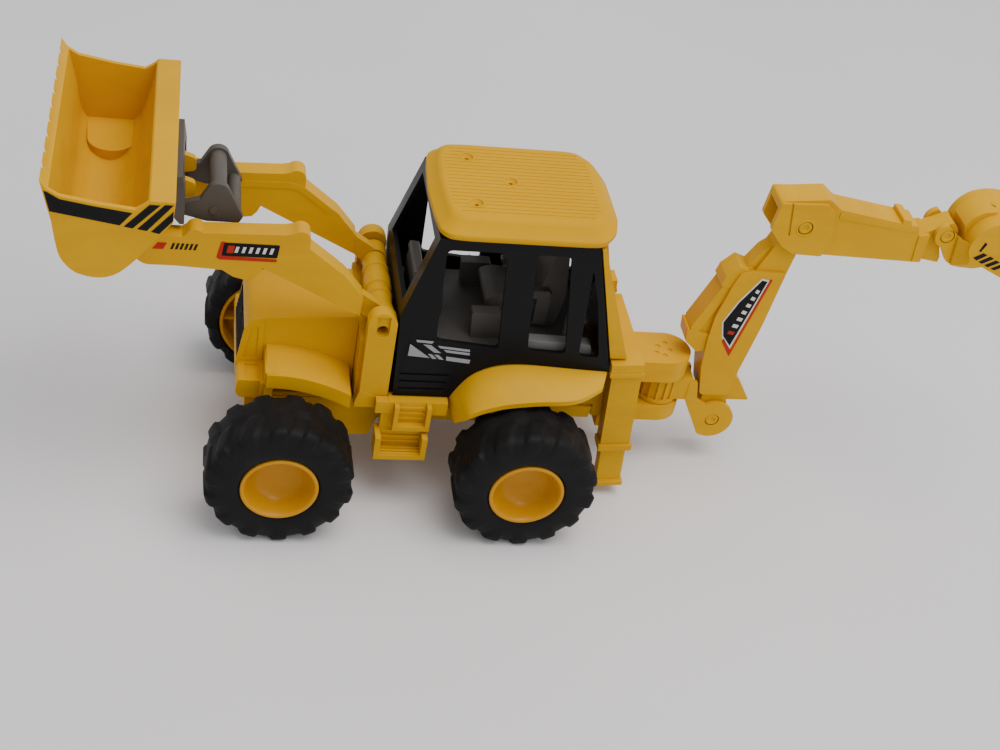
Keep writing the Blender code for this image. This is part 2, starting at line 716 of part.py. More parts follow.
def make_loader_bucket(holder):
    outer = bucket_outline()
    shell = prism(outer, -BUCKET_HALF, BUCKET_HALF)
    inner = drawn_in(outer, BUCKET_WALL)
    rear_face = [(164.2, 133.0), (160.4, 146.0), (158.8, 156.0), (158.8, 175.0)]
    hollow = [(194.7, 164.0)] + inner[1:8] + rear_face + [(194.6, 175.0)]
    room = prism(hollow, BUCKET_WALL - BUCKET_HALF, BUCKET_HALF - BUCKET_WALL)
    notches = []
    teeth = 10
    pitch = 2 * BUCKET_HALF / teeth
    for i in range(1, teeth):
        y = -BUCKET_HALF + i * pitch
        notches.append(box((190.0, 200.0), (y - 1.3, y + 1.3), (160.4, 168.0)))
    lug_outline = arc(BUCKET_PIVOT, 5.2, 150, 320, 6) + [(171.0, 126.0), (162.5, 134.0)]
    lugs = [prism(lug_outline, *side_range(s, 15.6, 17.9)) for s in (1, -1)]
    tab_outline = [(141.6, 133.0), (150.0, 131.0), (160.0, 136.5), (154.6, 142.8), (142.0, 138.6)]
    tabs = [prism(tab_outline, *side_range(s, 7.6, 10.6)) for s in (1, -1)]
    bore = rod(BUCKET_PIVOT, BORE_RADIUS, -40, 40, 16)
    shell = cut(joined(shell, *lugs, *tabs), room, *notches, bore)
    piece("loader_bucket", shell, YELLOW, holder)


def make_bracket(holder):
    """The grey coupler behind the bucket: a block, two plates, two tubes."""
    block_outline = [
        (145.8, 126.6), (147.6, 126.6), (156.9, 138.4), (149.5, 148.0), (147.0, 148.0),
        (145.8, 140.0),
    ]
    block = prism(block_outline, -21.5, 21.5)
    window = box((130.0, 170.0), (-11.4, 11.4), (129.4, 144.6))
    plate_outline = arc((133.2, 137.2), 4.5, 160, 40, 5)
    plate_outline += [
        (147.2, 131.8), (147.2, 127.0), (137.4, 124.4), (124.6, 124.4), (123.2, 127.0),
    ]
    plates = [prism(plate_outline, *side_range(s, 11.8, 15.0)) for s in (1, -1)]
    tubes = [rod((133.2, 137.2), 3.4, -13.5, 13.5, 14), rod((126.4, 127.6), 2.6, -14.6, 14.6, 14)]
    body = joined(cut(block, window), *plates)
    piece("bucket_bracket", joined(body, *tubes), GREY, holder)


# ---------------------------------------------------------------- backhoe

def make_swing_post(holder):
    """A drum between the swing plates that carries the boom's two ears."""
    drum = post((SWING_X, 0.0), 9.3, 34.6, 48.0, 24)
    web = prism([(SWING_X - 4, 35.0), (SWING_X - 4, 47.6), (-84.6, 47.6), (-86.4, 35.0)], -7.6, 7.6)
    ear_outline = [(-82.6, 36.4), (-82.8, 46.0), (-86.6, 46.0), (-88.6, 36.0)]
    ear_outline += arc(BOOM_PIVOT, 10.0, 60, 305, 12)
    ears = [prism(ear_outline, *side_range(s, EAR_INNER, EAR_OUTER)) for s in (1, -1)]
    bores = [
        post((SWING_X, 0.0), BORE_RADIUS, 30.0, 52.0, 16),
        rod(BOOM_PIVOT, PIN_BORE, -20, 20, 20),
    ]
    piece("swing_post", cut(joined(drum, web, *ears), *bores), YELLOW, holder)


def make_boom(holder):
    """A box beam with a moulded ram along its front face."""
    beam = [
        (-103.2, 38.5), (-104.6, 54.0), (-108.8, 80.0), (-111.4, 104.0), (-112.0, 108.0),
        (-98.6, 108.0), (-91.6, 107.0), (-89.4, 100.0), (-85.8, 83.0), (-85.4, 70.0),
        (-86.4, 54.0), (-89.4, 38.5),
    ]
    body = prism(beam, -BOOM_HALF, BOOM_HALF)
    tongue_top = [(-111.6, 100.0), (-98.0, 100.0), (-98.2, 108.0), (-103.4, 121.0)]
    tongue_top += arc(DIPPER_PIVOT, 7.0, -20, 200, 9) + [(-114.6, 121.0)]
    top = prism(tongue_top, -TONGUE_HALF, TONGUE_HALF)
    foot = [(-92.0, 40.0), (-102.0, 40.0)] + arc(BOOM_PIVOT, 8.0, 165, 375, 9)
    low = prism(foot, -TONGUE_HALF, TONGUE_HALF)
    ram = [
        (-97.0, 109.4), (-89.4, 107.4), (-86.9, 102.6), (-75.9, 74.0), (-76.6, 69.0),
        (-82.0, 63.6), (-88.0, 66.0), (-92.0, 90.0),
    ]
    ram_body = prism(ram, -4.6, 4.6)
    tail = prism([(-100.0, 52.0), (-107.6, 49.6), (-114.4, 37.4), (-100.0, 38.2)], -4.0, 4.0)
    bores = [rod(p, PIN_BORE, -20, 20, 20) for p in (BOOM_PIVOT, DIPPER_PIVOT)]
    piece("boom", cut(joined(body, top, low, ram_body, tail), *bores), YELLOW, holder)


def make_dipper(holder):
    """The outer arm: a forked head over the boom's tongue and a ram on top."""
    side_view = [
        (-99.8, 144.8), (-98.4, 131.4), (-105.0, 123.8), (-111.0, 120.0), (-130.0, 119.2),
        (-171.0, 118.2), (-171.0, 133.2), (-166.4, 131.6), (-164.5, 136.6), (-160.0, 137.0),
        (-127.0, 142.4), (-121.0, 147.2), (-104.0, 145.4),
    ]
    body = prism(side_view, -DIPPER_HALF, DIPPER_HALF)
    head_view = [
        (-99.4, 144.6), (-98.0, 131.2), (-104.8, 123.4), (-111.0, 119.6), (-124.0, 119.2),
        (-124.0, 142.0), (-120.0, 145.4),
    ]
    head = prism(head_view, -EAR_OUTER, EAR_OUTER)
    tongue_view = [
        (-166.0, 131.0), (-166.0, 120.0), (-180.2, 117.8), (-180.4, 120.4), (-178.0, 127.2),
    ]
    tongue_view += arc(SCOOP_PIVOT, 5.6, -110, -250, 5)[1:]
    tongue = prism(tongue_view, -TONGUE_HALF, TONGUE_HALF)
    slot = box((-134.0, -90.0), (-EAR_INNER, EAR_INNER), (110.0, 141.0))
    bores = [rod(p, PIN_BORE, -20, 20, 20) for p in (DIPPER_PIVOT, SCOOP_PIVOT)]
    piece("dipper", cut(joined(body, head, tongue), slot, *bores), YELLOW, holder)


def scoop_outline():
    """The backhoe bucket's side view, from its hinge corner over the back."""
    return [
        (-189.2, 126.2), (-187.0, 131.0), (-187.8, 136.4), (-190.6, 141.0), (-195.2, 144.3),
        (-202.2, 145.8), (-209.4, 145.0), (-216.4, 141.2), (-221.6, 134.0), (-224.0, 124.0),
        (REAR_END_X, 112.0), (-215.0, 114.8), (-205.6, 118.2), (-195.4, 123.0),
    ]


def make_scoop(holder):
    """The backhoe bucket: a wide shell, two hinge ears and a hump on top."""
    outer = scoop_outline()
    shell = prism(outer, -SCOOP_HALF, SCOOP_HALF)
    inner = drawn_in(outer, 1.8)
    hollow = inner[1:10] + [(-222.6, 100.0), (-191.4, 100.0), (-191.0, 124.0)]
    room = prism(hollow, 1.8 - SCOOP_HALF, SCOOP_HALF - 1.8)
    notches = []
    teeth = 5
    pitch = 2 * SCOOP_HALF / teeth
    for i in range(1, teeth):
        y = -SCOOP_HALF + i * pitch
        notches.append(box((-230.0, -221.4), (y - 1.2, y + 1.2), (100.0, 116.0)))
    ear = arc(SCOOP_PIVOT, 6.6, 90, -60, 8)
    ear += [(-180.8, 120.6), (-187.2, 117.6), (-190.9, 120.2), (-191.4, 128.0), (-194.0, 140.0)]
    ear += [(-192.4, 146.8), (-187.6, 145.4), (-183.4, 142.2)]
    ears = [prism(ear, *side_range(s, EAR_INNER, EAR_OUTER)) for s in (1, -1)]
    hump = [(-183.8, 141.0), (-192.4, 146.6), (-196.0, 143.6), (-189.4, 133.0), (-186.4, 134.6)]
    bridge = prism(hump, -EAR_INNER - 1, EAR_INNER + 1)
    bore = rod(SCOOP_PIVOT, PIN_BORE, -20, 20, 20)
    shell = cut(joined(shell, bridge, *ears), room, *notches, bore)
    piece("rear_bucket", shell, YELLOW, holder)


# ---------------------------------------------------------------- machine

def build():
    clear_scene()
    ground = pivot("machine", (MIDDLE_X, 0.0, 0.0))
    ground.location = (0, 0, 0)
    front = pivot("front_wheels", (WHEELBASE, 0.0, AXLE_HEIGHT), ground)
    rear = pivot("rear_wheels", (0.0, 0.0, AXLE_HEIGHT), ground)
    loader = pivot("loader_pivot", (LOADER_PIVOT[0], 0.0, LOADER_PIVOT[1]), ground)
    bucket = pivot("bucket_pivot", (BUCKET_PIVOT[0], 0.0, BUCKET_PIVOT[1]), loader)
    legs = {
        side: pivot(f"leg_slide_{name}", (LEG_TOP[0], side * 30.0, LEG_TOP[1]), ground)
        for side, name in ((1, "left"), (-1, "right"))
    }
    swing = pivot("swing_pivot", (SWING_X, 0.0, 41.0), ground)
    boom = pivot("boom_pivot", (BOOM_PIVOT[0], 0.0, BOOM_PIVOT[1]), swing)
    dipper = pivot("dipper_pivot", (DIPPER_PIVOT[0], 0.0, DIPPER_PIVOT[1]), boom)
    scoop = pivot("scoop_pivot", (SCOOP_PIVOT[0], 0.0, SCOOP_PIVOT[1]), dipper)

    make_chassis(ground)
    make_screws(ground)
    make_hood(ground)
    make_grille(ground)
    make_mast(ground)
    make_steps(ground)
    make_cab_shell(ground)
    make_roof(ground)
    make_interior(ground)
    make_rear_fenders(ground)
    make_rear_body(ground)
    make_stabilisers(ground, legs)
    make_wheels(front, "front", WHEELBASE)
    make_wheels(rear, "rear", 0.0)
    make_arms(loader)
    piece("loader_pivot_pin", rod(LOADER_PIVOT, AXLE_RADIUS, -31.0, 31.0, 16), STEEL, ground)
    make_loader_bucket(bucket)
    make_bracket(bucket)
    piece("bucket_pivot_pin", rod(BUCKET_PIVOT, AXLE_RADIUS, -25.6, 25.6, 16), STEEL, loader)
    make_swing_post(swing)
    piece("swing_pin", post((SWING_X, 0.0), AXLE_RADIUS, 26.5, 56.6, 16), STEEL, ground)
    make_boom(boom)
    piece("boom_pin", rod(BOOM_PIVOT, PIN_RADIUS, -EAR_OUTER, EAR_OUTER), YELLOW, swing)
    make_dipper(dipper)
    piece("dipper_pin", rod(DIPPER_PIVOT, PIN_RADIUS, -EAR_OUTER, EAR_OUTER), YELLOW, boom)
    make_scoop(scoop)
    piece("scoop_pin", rod(SCOOP_PIVOT, PIN_RADIUS, -EAR_OUTER, EAR_OUTER), YELLOW, dipper)


build()
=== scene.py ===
"""Looks of the toy backhoe loader: moulded yellow plastic, black cab, lugged tyres.

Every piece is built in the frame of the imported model. Side outlines are in
millimetres, measured forward from the rear axle and up from the ground.
"""
import math

import bmesh
import bpy
from mathutils import Matrix, Vector


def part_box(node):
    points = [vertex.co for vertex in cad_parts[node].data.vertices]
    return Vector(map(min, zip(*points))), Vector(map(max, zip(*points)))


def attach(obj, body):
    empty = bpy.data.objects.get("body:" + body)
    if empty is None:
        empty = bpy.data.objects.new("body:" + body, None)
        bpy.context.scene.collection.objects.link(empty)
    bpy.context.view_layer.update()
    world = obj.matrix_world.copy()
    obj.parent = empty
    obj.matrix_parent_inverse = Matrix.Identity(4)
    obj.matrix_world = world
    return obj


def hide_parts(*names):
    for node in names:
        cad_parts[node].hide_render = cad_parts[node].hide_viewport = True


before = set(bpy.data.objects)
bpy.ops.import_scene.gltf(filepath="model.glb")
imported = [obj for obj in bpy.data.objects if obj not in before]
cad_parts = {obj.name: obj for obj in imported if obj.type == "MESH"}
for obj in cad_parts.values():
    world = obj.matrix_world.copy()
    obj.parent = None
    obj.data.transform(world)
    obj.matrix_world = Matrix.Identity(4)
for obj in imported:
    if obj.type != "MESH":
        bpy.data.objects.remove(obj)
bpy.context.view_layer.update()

MM = 0.001


def middle(node):
    low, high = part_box(node)
    return (low + high) / 2


REAR_AXLE = middle("rear_axle")
FRONT_AXLE = middle("front_axle")
REAR_X = REAR_AXLE.x
WHEELBASE = (FRONT_AXLE.x - REAR_X) / MM
AXLE_HEIGHT = REAR_AXLE.z / MM


def place_of(node):
    """A pin's axis in the side view, in millimetres."""
    centre = middle(node)
    return ((centre.x - REAR_X) / MM, centre.z / MM)


LOADER_PIVOT = place_of("loader_pivot_pin")
BUCKET_PIVOT = place_of("bucket_pivot_pin")
BOOM_PIVOT = place_of("boom_pin")
DIPPER_PIVOT = place_of("dipper_pin")
SCOOP_PIVOT = place_of("scoop_pin")
SWING_X = place_of("swing_pin")[0]

TYRE_INNER_Y = 41.5
TYRE_HALF = 13.75
LUGS = 14
CAB_HALF = 33.0
CAB_TOP_HALF = 30.5
CAB_TOP = 132.7
BUCKET_HALF = 52.9
SCOOP_HALF = 14.0
BODY_FLOOR = 46.3
CHASSIS_HALF = 27.0
DECK_HALF = 25.6
ARM_OUTER = 26.2
PIN_BORE = 2.35
CAP_BORE = 3.35
EDGE_ANGLE = math.radians(38)
BOOM_HALF = 6.5
EAR_INNER = 5.2
EAR_OUTER = 7.8
LEG_TILT = math.radians(4.2)
LEG_TOP = (-42.5, 70.0)
PRINT_LAYERS = (0.12, 0.16, 0.2)
SIDES = ((1, "left"), (-1, "right"))


# ---------------------------------------------------------------- solids

def at(x, y, z):
    return (REAR_X + x * MM, y * MM, z * MM)


def stacked(rings):
    """A closed solid through rings of points, capped at both ends."""
    mesh = bmesh.new()
    rows = [[mesh.verts.new(at(*p)) for p in ring] for ring in rings]
    for a, b in zip(rows, rows[1:]):
        for i in range(len(a)):
            j = (i + 1) % len(a)
            mesh.faces.new((a[i], a[j], b[j], b[i]))
    mesh.faces.new(rows[0])
    mesh.faces.new(rows[-1])
    bmesh.ops.recalc_face_normals(mesh, faces=mesh.faces)
    return mesh


def prism(outline, y_low, y_high):
    """A solid with one side outline (x, z) from y_low to y_high."""
    return stacked([[(x, y, z) for x, z in outline] for y in (y_low, y_high)])


def slab(plan, z_low, z_high):
    return stacked([[(x, y, z) for x, y in plan] for z in (z_low, z_high)])


def box(x, y, z):
    return prism([(x[0], z[0]), (x[1], z[0]), (x[1], z[1]), (x[0], z[1])], *y)


def turned(profile, centre, segments=48, axis="Y"):
    """A body turned about a line along Y or Z; corners are (radius, place)."""
    mesh = bmesh.new()
    rings = []
    for radius, place in profile:
        ring = []
        for i in range(1 if radius < 1e-6 else segments):
            angle = 2 * math.pi * (i + 0.5) / segments
            u = centre[0] + radius * math.cos(angle)
            v = centre[1] + radius * math.sin(angle)
            ring.append(mesh.verts.new(at(u, place, v) if axis == "Y" else at(u, v, place)))
        rings.append(ring)
    pairs = list(zip(rings, rings[1:]))
    if len(rings[0]) > 1:
        pairs.append((rings[-1], rings[0]))
    for a, b in pairs:
        for i in range(segments):
            j = (i + 1) % segments
            corners = [a[i % len(a)], a[j % len(a)], b[j % len(b)], b[i % len(b)]]
            corners = list(dict.fromkeys(corners))
            if len(corners) > 2:
                mesh.faces.new(corners)
    bmesh.ops.recalc_face_normals(mesh, faces=mesh.faces)
    return mesh


def rod(centre, radius, y_low, y_high, segments=40):
    profile = [(0, y_low), (radius, y_low), (radius, y_high), (0, y_high)]
    return turned(profile, centre, segments)


def post(centre, radius, z_low, z_high, segments=40):
    profile = [(0, z_low), (radius, z_low), (radius, z_high), (0, z_high)]
    return turned(profile, centre, segments, "Z")


def arc(centre, radius, start, end, steps):
    angles = [math.radians(start + (end - start) * i / steps) for i in range(steps + 1)]
    return [
        (centre[0] + radius * math.cos(a), centre[1] + radius * math.sin(a))
        for a in angles
    ]


def rounded(outline, radius, steps=3):
    """The outline with every corner rounded, as far as its edges allow."""
    made = []
    count = len(outline)
    for i in range(count):
        here = Vector(outline[i])
        before = Vector(outline[i - 1]) - here
        after = Vector(outline[(i + 1) % count]) - here
        reach = min(radius, before.length * 0.45, after.length * 0.45)
        start = here + before.normalized() * reach
        end = here + after.normalized() * reach
        for k in range(steps + 1):
            t = k / steps
            spot = start * (1 - t) ** 2 + here * 2 * t * (1 - t) + end * t * t
            made.append(tuple(spot))
    return made


def flowing(points, steps):
    """A smooth curve through all the points."""
    made = []
    ends = [points[0]] + list(points) + [points[-1]]
    for a, b, c, d in zip(ends, ends[1:], ends[2:], ends[3:]):
        a, b, c, d = map(Vector, (a, b, c, d))
        for k in range(steps):
            t = k / steps
            spot = 0.5 * (2 * b + (c - a) * t + (2 * a - 5 * b + 4 * c - d) * t * t
                          + (3 * b - a - 3 * c + d) * t ** 3)
            made.append(tuple(spot))
    made.append(tuple(points[-1]))
    return made


def drawn_in(outline, amount):
    """The outline with each edge moved inwards by amount."""
    count = len(outline)
    area = sum(
        outline[i][0] * outline[(i + 1) % count][1]
        - outline[(i + 1) % count][0] * outline[i][1]
        for i in range(count)
    )
    turn = 1.0 if area > 0 else -1.0
    moved = []
    for i in range(count):
        here = Vector(outline[i])
        one = (here - Vector(outline[i - 1])).normalized()
        two = (Vector(outline[(i + 1) % count]) - here).normalized()
        normal_one = Vector((-one.y, one.x)) * turn
        normal_two = Vector((-two.y, two.x)) * turn
        bisector = (normal_one + normal_two).normalized()
        moved.append(tuple(here + bisector * (amount / max(0.3, bisector.dot(normal_one)))))
    return moved


def settled(name, mesh):
    """The mesh as object data; the working mesh is freed."""
    data = bpy.data.meshes.new(name)
    mesh.to_mesh(data)
    mesh.free()
    return data


def placed(name, data):
    """A scene object that shows the data."""
    thing = bpy.data.objects.new(name, data)
    bpy.context.scene.collection.objects.link(thing)
    return thing


def combined(operation, base, tools):
    """The base with each tool in turn joined to it or cut from it."""
    for tool in tools:
        body = placed("base", settled("base", base))
        other = placed("tool", settled("tool", tool))
        step = body.modifiers.new("step", "BOOLEAN")
        step.operation = operation
        step.solver = "EXACT"
        step.object = other
        graph = bpy.context.evaluated_depsgraph_get()
        base = bmesh.new()
        base.from_mesh(body.evaluated_get(graph).data)
        for thing in (body, other):
            data = thing.data
            bpy.data.objects.remove(thing)
            bpy.data.meshes.remove(data)
        bmesh.ops.remove_doubles(base, verts=base.verts, dist=0.00001)
        bmesh.ops.dissolve_limit(
            base, angle_limit=math.radians(0.2), verts=base.verts, edges=base.edges)
    return base


def joined(base, *tools):
    return combined("UNION", base, tools)


def cut(base, *tools):
    return combined("DIFFERENCE", base, tools)


def between(side, inner, outer):
    """The y range of a left (+1) or right (-1) copy, lowest first."""
    return sorted((side * inner, side * outer))


def pair(outline, inner, outer):
    """The same side outline as a plate on the left and on the right."""
    return [prism(outline, *between(side, inner, outer)) for side, _ in SIDES]


# ---------------------------------------------------------------- materials

class Shader:
    """A material under construction, with its node tree at hand."""

    def __init__(self, name):
        self.material = bpy.data.materials.new(name)
        self.material.use_nodes = True
        self.tree = self.material.node_tree
        self.surface = self.tree.nodes["Principled BSDF"]
        self.where = self.node("ShaderNodeTexCoord").outputs["Object"]

    def node(self, kind, **values):
        made = self.tree.nodes.new(kind)
        for key, value in values.items():
            setattr(made, key, value)
        return made

    def link(self, source, target):
        self.tree.links.new(source, target)

    def give(self, socket, value):
        """Feed a surface input with a number, a colour or another node."""
        if isinstance(value, bpy.types.NodeSocket):
            self.link(value, self.surface.inputs[socket])
        else:
            self.surface.inputs[socket].default_value = value

    def noise(self, scale, detail=3.0, rough=0.5, stretch=(1, 1, 1), distortion=0.0):
        mapping = self.node("ShaderNodeMapping")
        mapping.inputs["Scale"].default_value = stretch
        self.link(self.where, mapping.inputs["Vector"])
        made = self.node("ShaderNodeTexNoise")
        made.inputs["Scale"].default_value = scale
        made.inputs["Detail"].default_value = detail
        made.inputs["Roughness"].default_value = rough
        made.inputs["Distortion"].default_value = distortion
        self.link(mapping.outputs["Vector"], made.inputs["Vector"])
        return made.outputs["Fac"]

    def remap(self, value, low, high, to_low, to_high):
        made = self.node("ShaderNodeMapRange")
        for key, number in (("From Min", low), ("From Max", high),
                            ("To Min", to_low), ("To Max", to_high)):
            made.inputs[key].default_value = number
        self.link(value, made.inputs["Value"])
        return made.outputs["Result"]

    def blend(self, factor, one, two):
        made = self.node("ShaderNodeMix", data_type="RGBA")
        for socket, value in ((made.inputs[0], factor), (made.inputs[6], one),
                              (made.inputs[7], two)):
            if isinstance(value, (int, float)):
                socket.default_value = value
            elif isinstance(value, tuple):
                socket.default_value = (*value, 1.0)
            else:
                self.link(value, socket)
        return made.outputs[2]

    def maths(self, operation, one, two):
        made = self.node("ShaderNodeMath", operation=operation)
        for socket, value in zip(made.inputs, (one, two)):
            if isinstance(value, (int, float)):
                socket.default_value = value
            else:
                self.link(value, socket)
        return made.outputs[0]

    def bump(self, layers):
        """Stack (height, strength, distance) layers into the normal."""
        normal = None
        for height, strength, distance in layers:
            made = self.node("ShaderNodeBump")
            made.inputs["Strength"].default_value = strength
            made.inputs["Distance"].default_value = distance
            self.link(height, made.inputs["Height"])
            if normal:
                self.link(normal, made.inputs["Normal"])
            normal = made.outputs["Normal"]
        self.link(normal, self.surface.inputs["Normal"])

    def upward(self):
        """How far a surface faces up, 0 to 1."""
        geometry = self.node("ShaderNodeNewGeometry")
        split = self.node("ShaderNodeSeparateXYZ")
        self.link(geometry.outputs["Normal"], split.inputs["Vector"])
        return self.remap(split.outputs["Z"], 0.2, 1.0, 0.0, 1.0)

    def corner_shade(self, distance):
        """How shut in a surface is, 0 in the open to 1 in a corner: the mask for painted shade."""
        made = self.node("ShaderNodeAmbientOcclusion", samples=4, only_local=False)
        made.inputs["Distance"].default_value = distance
        return self.remap(made.outputs["AO"], 0.35, 0.95, 1.0, 0.0)


DUST = (0.52, 0.44, 0.30)


def plastic(name, colour, deep, pale, rough=(0.34, 0.5), grain=0.06, dust=0.03,
            scatter=0.04, gloss=0.14):
    """Injection-moulded plastic: faint flow marks, grain, scuffs and dust, with painted shade darkening
    corners and creases.
    """
    s = Shader(name)
    broad = s.noise(9.0, 4.0, 0.55)
    flow = s.noise(22.0, 5.0, 0.6, (1.0, 1.0, 3.0), 0.6)
    tone = s.blend(s.remap(broad, 0.35, 0.7, 0.0, 0.55), colour, pale)
    tone = s.blend(s.remap(flow, 0.45, 0.75, 0.0, 0.4), tone, deep)
    # Painted shade: corners and creases darkened towards the deep tone.
    tone = s.blend(s.maths("MULTIPLY", s.corner_shade(0.006), 0.35), tone, deep)
    specks = s.remap(s.noise(900.0, 2.0, 0.7), 0.66, 0.72, 0.0, 0.3)
    tone = s.blend(specks, tone, deep)
    film = s.remap(s.noise(60.0, 6.0, 0.7), 0.4, 0.75, 0.0, dust)
    dusted = s.maths("MULTIPLY", s.upward(), film)
    tone = s.blend(dusted, tone, DUST)
    s.give("Base Color", tone)
    smudge = s.remap(s.noise(34.0, 6.0, 0.65, (1, 1, 1), 1.2), 0.3, 0.7, rough[0], rough[1])
    s.give("Roughness", s.maths("ADD", smudge, s.maths("MULTIPLY", dusted, 0.8)))
    scratches = s.noise(260.0, 2.0, 0.5, (1.0, 1.0, 14.0), 2.0)
    rubs = s.noise(180.0, 2.0, 0.5, (12.0, 1.0, 1.0), 2.0)
    s.bump([
        (s.noise(2200.0, 3.0, 0.6), grain, 0.00006),
        (s.remap(scratches, 0.62, 0.7, 0.0, 1.0), 0.10, 0.00005),
        (s.remap(rubs, 0.64, 0.72, 0.0, 1.0), 0.08, 0.00005),
        (s.noise(55.0, 3.0, 0.5), 0.12, 0.0003),
    ])
    s.give("Specular IOR Level", gloss)
    s.give("Subsurface Weight", scatter)
    s.give("Subsurface Radius", (0.004, 0.002, 0.0005))
    s.give("Subsurface Scale", 1.0)
    return s.material


def rubber(name):
    """Soft black tyre plastic, dull, with dust held on the lugs."""
    s = Shader(name)
    broad = s.noise(26.0, 5.0, 0.6)
    tone = s.blend(s.remap(broad, 0.3, 0.7, 0.0, 1.0),
                   (0.0050, 0.0048, 0.0048), (0.0095, 0.009, 0.009))
    dust = s.remap(s.noise(75.0, 8.0, 0.75), 0.54, 0.8, 0.0, 0.22)
    tone = s.blend(dust, tone, (0.045, 0.040, 0.036))
    s.give("Base Color", tone)
    s.give("Roughness", s.remap(broad, 0.3, 0.7, 0.48, 0.66))
    s.give("Specular IOR Level", 0.12)
    s.bump([
        (s.noise(1500.0, 4.0, 0.7), 0.22, 0.0001),
        (s.noise(220.0, 4.0, 0.6), 0.16, 0.0003),
    ])
    return s.material


def steel(name, tint):
    """Drawn wire and plated screws."""
    s = Shader(name)
    lines = s.noise(700.0, 3.0, 0.5, (1.0, 0.04, 1.0))
    drawn = s.remap(lines, 0.3, 0.7, 0.0, 1.0)
    s.give("Base Color", s.blend(drawn, tint, tuple(c * 0.72 for c in tint)))
    s.give("Metallic", 1.0)
    s.give("Roughness", s.remap(s.noise(90.0, 5.0, 0.6), 0.3, 0.7, 0.28, 0.48))
    s.bump([(lines, 0.15, 0.00005)])
    return s.material


def printed(name, colour, rough=0.35):
    """Printed film: an even ink with faint mottling and tiny pits."""
    s = Shader(name)
    mottle = s.remap(s.noise(300.0, 4.0, 0.6), 0.3, 0.7, 0.0, 1.0)
    s.give("Base Color", s.blend(mottle, colour, tuple(c * 0.8 + 0.004 for c in colour)))
    sheen = s.noise(120.0, 4.0, 0.6)
    s.give("Roughness", s.remap(sheen, 0.3, 0.7, rough - 0.06, rough + 0.1))
    s.bump([(s.noise(1200.0, 2.0, 0.5), 0.08, 0.00005)])
    s.give("Specular IOR Level", 0.1)
    return s.material


YELLOW = plastic("body_yellow_plastic", (0.60, 0.31, 0.0), (0.46, 0.215, 0.0),
                 (0.65, 0.345, 0.0), dust=0.015, gloss=0.09)
ROOF = plastic("roof_yellow_plastic", (0.55, 0.28, 0.0), (0.47, 0.225, 0.0),
               (0.61, 0.32, 0.0), dust=0.005, gloss=0.04)
RIM = plastic("rim_yellow_plastic", (0.50, 0.22, 0.0), (0.38, 0.15, 0.0), (0.56, 0.26, 0.0),
              rough=(0.22, 0.34), dust=0.0, gloss=0.22)
BLACK = plastic("cab_black_plastic", (0.0045, 0.0042, 0.0046), (0.0025, 0.0025, 0.0027),
                (0.008, 0.0075, 0.008), rough=(0.26, 0.38), dust=0.01, scatter=0.0, gloss=0.12)
GREY = plastic("trim_grey_plastic", (0.082, 0.072, 0.062), (0.052, 0.046, 0.04),
               (0.11, 0.098, 0.086), rough=(0.38, 0.52), dust=0.03, scatter=0.0)
# A lighter copy of the trim grey: painted light where the cab's rails and panel catch the window light.
LIT_GREY = plastic("rail_grey_painted_light", (0.17, 0.165, 0.155), (0.12, 0.115, 0.105),
                    (0.22, 0.21, 0.20), rough=(0.38, 0.52), dust=0.0, scatter=0.0)
RUBBER = rubber("tyre_black_rubber")
STEEL = steel("pin_steel_wire", (0.55, 0.55, 0.56))
SCREW = steel("screw_plated_steel", (0.45, 0.45, 0.47))
INK_BLACK = printed("ink_black", (0.006, 0.0055, 0.006))
INK_RED = printed("ink_red", (0.45, 0.02, 0.008))
INK_WHITE = printed("ink_white", (0.68, 0.66, 0.62))
INK_SILVER = printed("ink_silver", (0.30, 0.30, 0.31), 0.3)


# ---------------------------------------------------------------- pieces

def piece(name, mesh, body, look, nodes=(), bevel=0.45, segments=2):
    """Turn a solid into a finished piece that rides on a body."""
    data = settled(name, mesh)
    data.materials.append(look)
    data.shade_smooth()
    thing = placed(name, data)
    if bevel:
        edge = thing.modifiers.new("edges", "BEVEL")
        edge.width = bevel * MM
        edge.segments = segments
        edge.limit_method = "ANGLE"
        edge.angle_limit = EDGE_ANGLE
        edge.miter_outer = "MITER_ARC"
        edge.harden_normals = True
    data.set_sharp_from_angle(angle=EDGE_ANGLE)
    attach(thing, body)
    if nodes:
        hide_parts(*nodes)


def body_piece(name, mesh, node, bevel, segments=3):
    """A yellow piece fixed to the tractor, in place of one CAD node."""
    piece(name, mesh, "tractor", YELLOW, [node], bevel, segments)


def arm_piece(name, mesh, body, node, bevel, segments=3):
    """A yellow piece of the loader, the legs or the digging arm."""
    piece(name, mesh, body, YELLOW, [node], bevel, segments)


def carried(node, look):
    """A CAD node that stays, with a finished material."""
    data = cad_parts[node].data
    data.materials.clear()
    data.materials.append(look)


# ---------------------------------------------------------------- wheels

def eased(value):
    value = min(1.0, max(0.0, value))
    return value * value * (3 - 2 * value)


